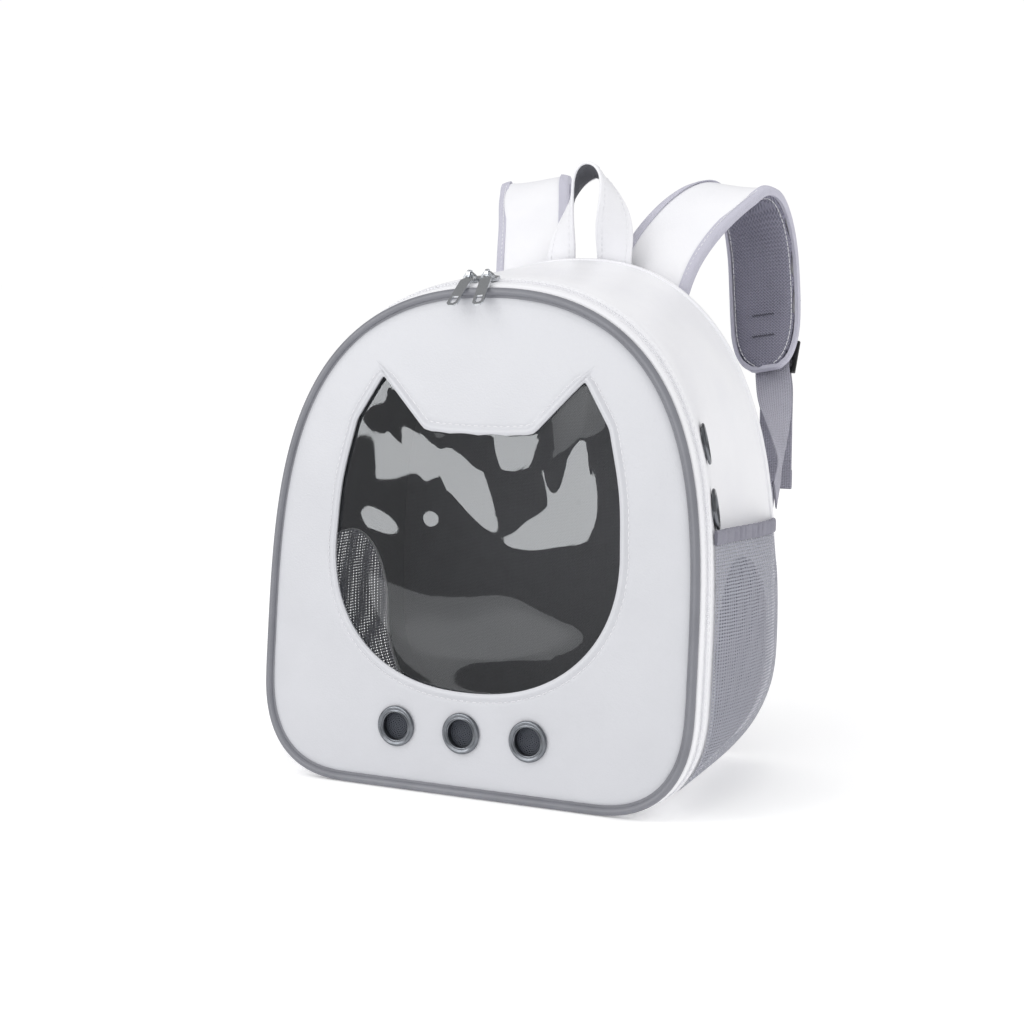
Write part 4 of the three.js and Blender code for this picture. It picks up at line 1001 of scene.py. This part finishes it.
def lining_shell():
    outer, inner = [np.array([body_loop(s, depth, 1.6) for s in SHARES]) for depth in (2.4, 3.2)]
    shell(outer, inner, "lining_sides", LINING, "lining_gusset", "lining", 1, EYELET_CUT + 1.1)


lining_shell()


def back_binding():
    loop = resample(outline(REAR), 420, closed=True)
    build = Build()
    normals = loop_normals(loop)
    profile = [(-1.2, 84.4), (0.5, 85.2), (0.9, 87), (0.7, 88.9), (-0.6, 89.9), (-2.4, 89.8), (-2.4, 84.6)]
    rows = []
    for out, y in profile:
        plan = loop + normals * out
        rows.append(np.stack([plan[:, 0], np.full(len(plan), y), np.maximum(plan[:, 1], 0.02)], 1))
    build.grid(np.array(rows).transpose(1, 0, 2), close_rows=True, close_cols=True)
    build.object("back_edge_binding", WHITE, slot="white_cloth")


back_binding()


# Nets

def net(build, points, hole):
    """Cells with a diamond hole each, from a grid of points; 8 triangles a cell."""
    points = np.asarray(points, float)
    rows, cols = points.shape[:2]
    a, b = points[:-1, :-1], points[:-1, 1:]
    c, d = points[1:, 1:], points[1:, :-1]
    middle = (a + b + c + d) / 4
    holes = [middle + ((p + q) / 2 - middle) * hole for p, q in ((a, b), (b, c), (c, d), (d, a))]
    base = rows * cols
    cells = (rows - 1) * (cols - 1)
    verts = np.concatenate([points.reshape(-1, 3)] + [h.reshape(-1, 3) for h in holes])
    r, k = np.meshgrid(np.arange(rows - 1), np.arange(cols - 1), indexing="ij")
    r, k = r.ravel(), k.ravel()
    ids = np.arange(cells)
    corner = [r * cols + k, r * cols + k + 1, (r + 1) * cols + k + 1, (r + 1) * cols + k]
    hid = [base + ids + cells * i for i in range(4)]
    faces = []
    for i in range(4):
        faces.append(np.stack([corner[i], corner[(i + 1) % 4], hid[i]], 1))
        faces.append(np.stack([corner[i], hid[i], hid[i - 1]], 1))
    faces = np.concatenate(faces)
    across = np.linalg.norm(points[0, -1] - points[0, 0])
    along = np.linalg.norm(points[-1, 0] - points[0, 0])
    grid_uv = np.stack(np.meshgrid(np.linspace(0, across, cols), np.linspace(0, along, rows)), -1)
    cell_uv = (grid_uv[:-1, :-1] + grid_uv[1:, 1:]) / 2
    uv = np.concatenate([grid_uv.reshape(-1, 2)] + [cell_uv.reshape(-1, 2)] * 4)
    build.add(verts, faces.tolist(), uv[faces.ravel()])


def side_grid(share_count, z_low, z_high, rows, stand_off, share_low, share_high):
    shares = np.linspace(share_low, share_high, share_count)
    heights = np.linspace(z_low, z_high, rows)
    grid = np.zeros((rows, share_count, 3))
    for j, s in enumerate(shares):
        loop = body_loop(s, -stand_off)[FLAT_END:TOP]
        for k in range(3):
            grid[:, j, k] = np.interp(heights, loop[:, 2], loop[:, k])
    return grid


def side_meshes():
    middle, half, spring = SIDE_WINDOW["middle"], SIDE_WINDOW["half"] + 0.6, SIDE_WINDOW["spring"]
    for name, mirror in SIDES.items():
        build = Build()
        net(build, side_grid(66, 24, 156, 66, -1.0, 0.08, 0.98) * mirror, hole=0.66)
        obj = build.object(f"side_net_{name}", SIDE_NET, replaces=[f"side_mesh_{name}"], slot="net", angle=80)
        work = bmesh.new()
        work.from_mesh(obj.data)
        outside = []
        for face in work.faces:
            centre = face.calc_center_median() / MM
            arch = 1 - ((centre.y - middle) / half) ** 2
            if arch <= 0 or not 25 < centre.z < spring + 63 * math.sqrt(arch):
                outside.append(face)
        bmesh.ops.delete(work, geom=outside, context="FACES")
        work.to_mesh(obj.data)
        work.free()


side_meshes()


def pocket_surface(rows, cols):
    """Grid of the right pocket from its sewn foot to its mouth."""
    shares = np.linspace(0.02, 0.985, cols)
    grid = np.zeros((rows, cols, 3))
    for j, share in enumerate(shares):
        along = (share - 0.02) / 0.965
        mouth = 169 + (161 - 169) * along
        loop0 = body_loop(share, 0)[FLAT_END:TOP]
        loop1 = body_loop(share, -1)[FLAT_END:TOP]
        normal = unit(loop1 - loop0)
        lengths = path_lengths(loop0)
        start = np.interp(13.0, loop0[:, 2], lengths)
        end = np.interp(mouth, loop0[:, 2], lengths)
        for i in range(rows):
            up = i / (rows - 1)
            at = start + (end - start) * up
            p = np.array([np.interp(at, lengths, loop0[:, k]) for k in range(3)])
            n = unit(np.array([np.interp(at, lengths, normal[:, k]) for k in range(3)]))
            bulge = 12 + (8.5 - 12) * np.clip((up - 0.85) / 0.15, 0, 1)
            swell = math.sin(math.pi * along) ** 0.75 * math.sin(math.pi / 2 * min(1, up * 1.5)) ** 0.8
            grid[i, j] = p + n * (0.9 + bulge * swell)
    return grid


def pockets():
    grid = pocket_surface(78, 54)
    gather = np.linspace(0, 1, grid.shape[1])
    up = np.linspace(0, 1, grid.shape[0])[:, None]
    grid[..., 0] += 0.9 * up ** 3 * np.sin(gather * math.pi * 26) * np.sin(gather * math.pi) ** 0.5
    count = 180
    share = np.linspace(0, 1, count)
    ripple = 0.55 * np.sin(share * math.pi * 34) * np.sin(share * math.pi) ** 0.4
    line = resample(grid[-1], count)
    aside = unit(np.cross(tangents(line), np.array([0, 0, 1.0])))
    rise = unit(np.cross(aside, tangents(line)))
    profiles = [[(-0.9 + w * 0.3, -0.3), (1.3 + w * 0.6, -0.3), (1.6 + w, 1.2), (1.7 + w * 0.8, 4.5),
                 (1.6 + w, 7.6), (1.0 + w * 0.5, 8.8), (-0.4, 8.8), (-1.0, 7.6), (-0.9, 4)] for w in ripple]
    for name, mirror in SIDES.items():
        build = Build()
        net(build, grid * mirror, hole=0.72)
        build.object(f"pocket_net_{name}", NET, replaces=[f"side_pocket_{name}"], slot="net", angle=80)
        rim = Build()
        swept(rim, line * mirror, aside * mirror, rise * mirror, profiles)
        rim.object(f"pocket_band_{name}", BINDING, replaces=[f"pocket_binding_{name}"], slot="piping",
                   angle=60)


pockets()


# Eyelets

def eyelet(name, place, direction, wall):
    direction = unit(direction)
    aside = unit(np.cross(direction, [0.3, 0.1, 1.0]))
    other = np.cross(direction, aside)
    profile = [(9.0, -wall - 0.3), (10.2, -wall - 0.3), (10.2, 0.3), (12.8, 0.3), (13.4, 0.8), (13.3, 1.5),
               (12.8, 2.0), (12.1, 2.2), (11.4, 2.0), (10.9, 1.6), (10.5, 1.55), (10.1, 1.9), (9.7, 2.15),
               (9.3, 2.0), (9.0, 1.5), (9.0, 0.6)]
    rows = []
    for c, s in circle(1, 56):
        ray = aside * c + other * s
        rows.append([place + ray * r + direction * up for r, up in profile])
    build = Build()
    build.grid(np.array(rows), close_rows=True, close_cols=True)
    build.object(f"eyelet_{name}", GUNMETAL, replaces=[f"vent_ring_{name}"], slot="metal", angle=50)
    line = np.linspace(-10.1, 10.1, 17)
    u, v = np.meshgrid(line, line, indexing="ij")
    reach = (np.maximum(abs(u), abs(v)) / np.maximum(np.hypot(u, v), 1e-9))[..., None]
    grid = place + aside * u[..., None] * reach + other * v[..., None] * reach - direction * (wall + 0.9)
    disc = Build()
    net(disc, grid, hole=0.72)
    disc.object(f"eyelet_net_{name}", VENT_YARN, replaces=[f"vent_mesh_{name}"], slot="vent_net", angle=80)


def dome_normal(x, h):
    slope_x = (dome_at(np.array([x + 1, h])) - dome_at(np.array([x - 1, h]))) / 2
    slope_h = (dome_at(np.array([x, h + 1])) - dome_at(np.array([x, h - 1]))) / 2
    up = np.array([0, math.sin(LEAN), math.cos(LEAN)])
    return unit(FRONT_NORMAL - np.array([1, 0, 0]) * slope_x - up * slope_h)


for spot, spot_x in EYELET_SPOTS:
    spot_point = np.array([spot_x, EYELET_HEIGHT], float)
    spot_place = on_panel(spot_point, np.array(1 + dome_at(spot_point)))
    eyelet(spot, spot_place, dome_normal(spot_x, EYELET_HEIGHT), 2)
for row, (eye_place, eye_direction) in zip(("upper", "lower"), side_eyelets()):
    for eye_side, turned in SIDES.items():
        eyelet(f"side_{row}_{eye_side}", eye_place * turned, eye_direction * turned, 2.6)


# Carry handle

# Side, height, width and turn in degrees at each station of the handle
HANDLE = [(-19, 306, 20, 0), (-18.6, 344, 20, 0), (-13.5, 372, 21, -45), (-6.5, 394, 22, -80),
          (0.5, 404.5, 22, -108), (7, 406.5, 22, -116), (14, 401, 22, -104), (19.4, 387, 23, -75),
          (22.2, 368, 24, -35), (22.8, 344, 24, 0), (22.8, 306, 24, 0)]


def carry_handle():
    rows = spline(HANDLE, 12)
    middles = np.stack([rows[:, 0], np.full(len(rows), 93.8), rows[:, 1]], 1)
    t = tangents(middles)
    flat = unit(np.cross(np.tile([0, 1.0, 0], (len(t), 1)), t))
    turn = np.radians(rows[:, 3])[:, None]
    across = flat * np.cos(turn) + np.array([0, 1.0, 0]) * np.sin(turn)
    out = unit(np.cross(across, t))
    half = rows[:, 2] / 2
    top = [[(-w + 1, 0.1), (-w + 0.2, 0.5), (-w + 0.2, 1.1), (-w + 1.6, 1.6), (0, 1.8), (w - 1.6, 1.6),
            (w - 0.2, 1.1), (w - 0.2, 0.5), (w - 1, 0.1)] for w in half]
    low = [[(-w + 1, -0.05), (-w + 0.6, -0.6), (-w + 1.6, -1.3), (0, -1.5), (w - 1.6, -1.3),
            (w - 0.6, -0.6), (w - 1, -0.05)] for w in half]
    white, dark, edge, stitches = Build(), Build(), Build(), Build()
    swept(white, middles, across, out, top)
    swept(dark, middles, across, out, low)
    white.object("handle_face", WHITE, replaces=["carry_handle"], slot="white_cloth", angle=60)
    # The handle's underside is a separate piece in the dark grey lining cloth, so it is darker than the white
    # top.
    dark.object("handle_underside", LINING, slot="lining", angle=60)
    for side in (-1, 1):
        tube(edge, middles + across * (side * half)[:, None], 1.15)
        seam = middles + across * (side * (half - 3.0))[:, None] + out * 1.62
        stitch_row(stitches, seam, out, 3, 1.2, 0.24)
    edge.object("handle_binding", WHITE, slot="piping", angle=60)
    stitches.object("handle_stitches", THREAD, slot="white_cloth")


carry_handle()


# Shoulder straps

STRAP_SEAM = 104.2
# Side, way back from the seam, height, width and droop in degrees at each station of the right strap
STRAP = [(42, -3.8, 284, 57, 5), (43, 0.4, 303, 57, 6), (45.5, 4, 323, 56, 8), (51, 16, 346, 55, 10),
         (60, 36, 367, 54, 10), (70.5, 57, 382, 53, 9), (78.5, 75, 388, 52, 8), (85, 87, 384, 51, 8),
         (89.5, 94, 370, 50, 7), (93.5, 95, 350, 50, 6), (97, 91, 327, 50, 5), (101, 83, 304, 49, 4),
         (104.5, 74, 287, 45, 3), (107.5, 67, 275, 35, 2), (109, 63.5, 268.5, 20, 0)]


def strap_frames(lift, per=7):
    table = np.array(STRAP, float)
    risen = np.clip((table[:, 2] - 323) / 65, 0, 1)
    table[:, 2] += lift * risen
    rows = spline(table, per)
    middles = np.stack([rows[:, 0], STRAP_SEAM + rows[:, 1], rows[:, 2]], 1)
    t = tangents(middles)
    droop = np.radians(rows[:, 4])
    wanted = np.stack([np.cos(droop), np.zeros(len(droop)), -np.sin(droop)], 1)
    out = unit(np.cross(wanted, t))
    across = unit(np.cross(t, out))
    return middles, across, out, rows[:, 3]


def strap(side, lift):
    mirror = SIDES[side]
    middles, across, out, widths = strap_frames(lift)
    pad, cover, edge, stitches = Build(), Build(), Build(), Build()
    pad_rows, cover_rows = [], []
    for width in widths:
        w = width / 2
        low = [(u * (w - 0.8), 0.2 + 2.6 * max(0, abs(u) - 0.72) ** 1.5 / 0.148)
               for u in np.linspace(-1, 1, 21)]
        high = [(u * (w - 0.8), 6.2) for u in np.linspace(1, -1, 9)]
        pad_rows.append(low + high)
        crown = [(u * (w - 0.4), 8.4 + 0.9 * (1 - u * u) - 1.2 * max(0, abs(u) - 0.8) * 5 * abs(u))
                 for u in np.linspace(-1, 1, 17)]
        flat = [(u * (w - 0.4), 6.6) for u in np.linspace(1, -1, 9)]
        cover_rows.append(crown + flat)
    swept(pad, middles, across, out, pad_rows)
    swept(cover, middles, across, out, cover_rows)
    puffed(pad.object(f"strap_pad_mesh_{side}", AIR_MESH, replaces=[f"strap_pad_{side}"],
                      slot="padded_mesh", angle=60, mirror=mirror), 4.0, 0.8)
    cover.object(f"strap_skin_{side}", WHITE, replaces=[f"strap_cover_{side}"], slot="white_cloth",
                 angle=60, mirror=mirror)
    left_edge = middles - across * (widths / 2)[:, None] + out * 5.4
    right_edge = middles + across * (widths / 2)[:, None] + out * 5.4
    path = resample(np.concatenate([left_edge, right_edge[::-1]]), 260)
    out_path = unit(resample(np.concatenate([out, out[::-1]]), 260))
    aside = unit(np.cross(tangents(path), out_path))
    profile = [(1.5, -3.4), (-1.1, -3.2), (-1.5, -1.5), (-1.5, 1.0), (-1.0, 2.3), (1, 3.0), (3, 3.6),
               (5.5, 3.95), (5.6, 3.3), (1.6, 0)]
    swept(edge, path, aside, out_path, profile)
    edge.object(f"strap_binding_{side}", STRAP_BINDING, slot="piping", angle=60, mirror=mirror)
    for sign in (-1, 1):
        line = middles + across * (sign * (widths / 2 - 3.6))[:, None]
        stitch_row(stitches, line + out * 8.7, out, 3, 1.2, 0.26)
        stitch_row(stitches, line - out * 0.5, -out, 3, 1.2, 0.26)
    stitches.object(f"strap_stitches_{side}", THREAD, slot="white_cloth", mirror=mirror)


def bar_tacks(side, lift):
    """Two dense rows of stitches that hold the buckle's webbing, seen on the mesh side."""
    middles, across, out, _ = strap_frames(lift)
    build = Build()
    for height in (304, 289):
        i = int(np.argmin(np.abs(middles[60:, 2] - height))) + 60
        path = np.array([middles[i] + across[i] * u - out[i] * 1.1 for u in np.linspace(-8, 8, 22)])
        swing = np.where(np.arange(22) % 2 == 0, 0.5, -0.5)[:, None]
        path = path + np.cross(across[i], out[i]) * swing
        tube(build, path, 0.42, 6, up=tuple(-out[i]))
    build.object(f"bar_tacks_{side}", BAR_THREAD, slot="webbing", mirror=SIDES[side])


bar_tacks("right", 0)
bar_tacks("left", 6)
strap("right", 0)
strap("left", 6)


# Webbing and ladder locks

LOCK_MIDDLE = np.array([110, STRAP_SEAM + 86, 274.0])
LOCK_TILT = math.radians(27)
PITCH = 10.2


def in_lock(side, out, up):
    c, s = math.cos(LOCK_TILT), math.sin(LOCK_TILT)
    return LOCK_MIDDLE + np.array([side, out * c + up * s, up * c - out * s])


def band_profile(width, thick):
    w, t = width / 2, thick / 2
    steps = np.linspace(-1, 1, 11)
    top = [(u * w, t * (1 - max(0, abs(u) - 0.93) * 9)) for u in steps]
    low = [(u * w, -t * (1 - max(0, abs(u) - 0.93) * 9)) for u in steps[::-1]]
    return top + low


def band(name, middles, across, per, side, replaces=()):
    """A run of webbing through the given places; across points along its width at each."""
    points = spline(middles, per)
    t = tangents(points)
    out = unit(np.cross(unit(spline(across, per)), t))
    build = Build()
    swept(build, points, unit(np.cross(t, out)), out, band_profile(25, 1.3))
    build.object(name, WEBBING, replaces=replaces, slot="webbing", angle=60, mirror=SIDES[side])


def lock_pieces(side):
    clear, reach = 1.8 + 0.6 + 0.7, 2 + 0.6 + 0.7
    flat = np.array([1.0, 0, 0])
    tab_points = [in_lock(0, -clear, PITCH + 34), in_lock(0, -clear, PITCH + 17), in_lock(0, -clear, PITCH),
                  in_lock(0, -clear * 0.8, PITCH - reach * 0.8), in_lock(0, 0, PITCH - reach),
                  in_lock(0, clear * 0.8, PITCH - reach * 0.8), in_lock(0, clear, PITCH),
                  in_lock(0, clear, PITCH + 9.6)]
    band(f"lock_web_{side}", tab_points, np.tile(flat, (len(tab_points), 1)), 4, side, [f"lock_tab_{side}"])
    anchor_edge = side_point(1, 181, 0) + np.array([-2.5, 0, 0])
    anchor_edge[1] = 91
    along, face = np.array([-0.2, 0.98, 0]), np.array([0.98, 0.2, 0])

    def on_tab(reach_out, rise):
        return anchor_edge + along * reach_out + face * (2.4 + 0.3 + 0.7) + np.array([0, 0, rise])

    sewn, leave = on_tab(17 * 0.3, 11 * 0.2), on_tab(17 * 1.4, 11 * 1.5)
    entry = in_lock(0, -clear, -PITCH)
    sewn_across = -unit(np.cross(face, unit(leave - sewn)))
    middles, wides = [sewn], [sewn_across]
    for share in (0, 0.2, 0.4, 0.6, 0.8, 1):
        middles.append(leave + (entry - leave) * share)
        wides.append(unit(sewn_across * (1 - share) + flat * share))
    hang_y = in_lock(0, clear, -PITCH)[1] + 1.5
    hang_x = 111
    last = [in_lock(0, -clear, 0), in_lock(0, -clear * 0.8, reach * 0.8), in_lock(0, 0, reach),
            in_lock(0, clear * 0.8, reach * 0.8), in_lock(0, clear, 0), in_lock(0, clear, -PITCH)]
    last += [np.array([hang_x, hang_y, z]) for z in (250.0, 226.0, 178.0)]
    band(f"strap_web_{side}", middles + last, wides + [flat] * len(last), 6, side, [f"strap_webbing_{side}"])
    fold = [(hang_x, hang_y + 1.35, 191.0), (hang_x, hang_y + 1.4, 184.0), (hang_x, hang_y + 1.2, 179.0),
            (hang_x, hang_y + 0.5, 177.2)]
    band(f"web_hem_{side}", fold, np.tile(flat, (4, 1)), 4, side)
    lock = Build()
    up, out = [np.tile(in_lock(*step) - in_lock(0, 0, 0), (6, 1)) for step in ((0, 0, 1), (0, 1, 0))]
    for row in (-1, 0, 1):
        ends = np.array([in_lock(u, 0, row * PITCH) for u in np.linspace(-13.6, 13.6, 6)])
        swept(lock, ends, up, out, rounded_rect(4, 3.6, 1.1))
    for sign in (-1, 1):
        ends = np.array([in_lock(sign * 14.9, 0, u) for u in np.linspace(-12.2, 12.2, 6)])
        swept(lock, ends, np.tile(flat, (6, 1)), out, rounded_rect(3.2, 3.6, 1.0))
    lock.object(f"lock_frame_{side}", BLACK, replaces=[f"ladder_lock_{side}"], slot="buckle", angle=50,
                mirror=SIDES[side])
    shape = resample(np.array([(0, -13), (16.4, 9.6), (17.2, 11.2), (16, 12), (0, 13)], float), 30)
    centre = shape.mean(0)
    rows = []
    for shrink, depth in ((0.9, 0), (1, 0.5), (1, 1.9), (0.9, 2.4)):
        ring = centre + (shape - centre) * shrink
        rows.append([anchor_edge + along * a + np.array([0, 0, z]) + face * depth for a, z in ring])
    anchor = Build()
    anchor.grid(np.array(rows), close_cols=True, caps=True)
    anchor.object(f"anchor_cloth_{side}", WEBBING, replaces=[f"anchor_tab_{side}"], slot="webbing", angle=50,
                  mirror=SIDES[side])


def rounded_rect(width, height, radius, steps=3):
    points = []
    for cx, cy, start in ((1, 1, 0), (-1, 1, 90), (-1, -1, 180), (1, -1, 270)):
        for k in range(steps + 1):
            a = math.radians(start + 90 * k / steps)
            points.append((cx * (width / 2 - radius) + radius * math.cos(a),
                           cy * (height / 2 - radius) + radius * math.sin(a)))
    return points


lock_pieces("right")
lock_pieces("left")


# Zip sliders and pulls keep their CAD shapes

for node in ("zip_slider_left", "zip_slider_right", "zip_pull_left", "zip_pull_right"):
    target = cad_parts[node]
    target.data.materials.clear()
    target.data.materials.append(STEEL)


# Stage

def floor():
    line = np.linspace(-FLOOR_REACH, FLOOR_REACH, 9)
    points = [(x * MM, y * MM, -0.3 * MM) for y in line for x in line]
    faces = [(r * 9 + c, r * 9 + c + 1, r * 9 + c + 10, r * 9 + c + 9) for r in range(8) for c in range(8)]
    mesh = bpy.data.meshes.new("floor")
    mesh.from_pydata(points, [], faces)
    mesh.materials.append(FLOOR)
    linked("floor", mesh)


FLOOR_REACH = 16000
floor()


def studio():
    """An even white room, dimmer in reflections and plain white behind the object."""
    world = bpy.data.worlds.new("studio")
    world.use_nodes = True
    tree = world.node_tree
    background = tree.nodes["Background"]
    background.inputs["Color"].default_value = (1, 1, 1, 1)
    path = tree.nodes.new("ShaderNodeLightPath")
    level = 0.92
    for output, change in (("Is Camera Ray", 0.1), ("Is Glossy Ray", -0.6)):
        level = calc(tree, "MULTIPLY_ADD", path.outputs[output], change, level)
    tree.links.new(level, background.inputs["Strength"])
    bpy.context.scene.world = world
    bpy.context.scene.view_settings.view_transform = "Standard"


studio()


def away(azimuth, elevation, distance):
    """The way from what is looked at to the light or camera, with azimuth 0 in front."""
    a, e = math.radians(azimuth), math.radians(elevation)
    return Vector((math.sin(a) * math.cos(e), -math.cos(a) * math.cos(e), math.sin(e))) * distance


def area_light(name, azimuth, elevation, distance, size, power):
    light = bpy.data.lights.new(name, "AREA")
    light.energy = power
    light.shape = "RECTANGLE"
    light.size, light.size_y = size
    obj = linked(name, light)
    back = away(azimuth, elevation, distance)
    obj.location = Vector((0, 0, 0.17)) + back
    obj.rotation_euler = (-back).to_track_quat("-Z", "Y").to_euler()
    return obj


area_light("key", -42, 48, 2.2, (1.0, 1.0), 8)
area_light("fill", 62, 30, 2.4, (1.4, 1.4), 2)
area_light("top", 10, 84, 2.0, (1.2, 1.2), 3)
HIGH_CARD = area_light("high_card", -28, 19.5, 2.0, (1.9, 0.85), 21)
HIGH_CARD.visible_diffuse = False
HIGH_CARD.visible_camera = False
HIGH_CARD.visible_transmission = False


def camera():
    data = bpy.data.cameras.new("camera")
    data.sensor_width = 36
    data.lens = 69.665
    obj = linked("camera", data)
    back = away(26.389, 7.4, 1.34596)
    obj.location = Vector((-0.01105, 0, 0.17452)) + back
    obj.rotation_euler = (-back).to_track_quat("-Z", "Y").to_euler()
    bpy.context.scene.camera = obj


camera()
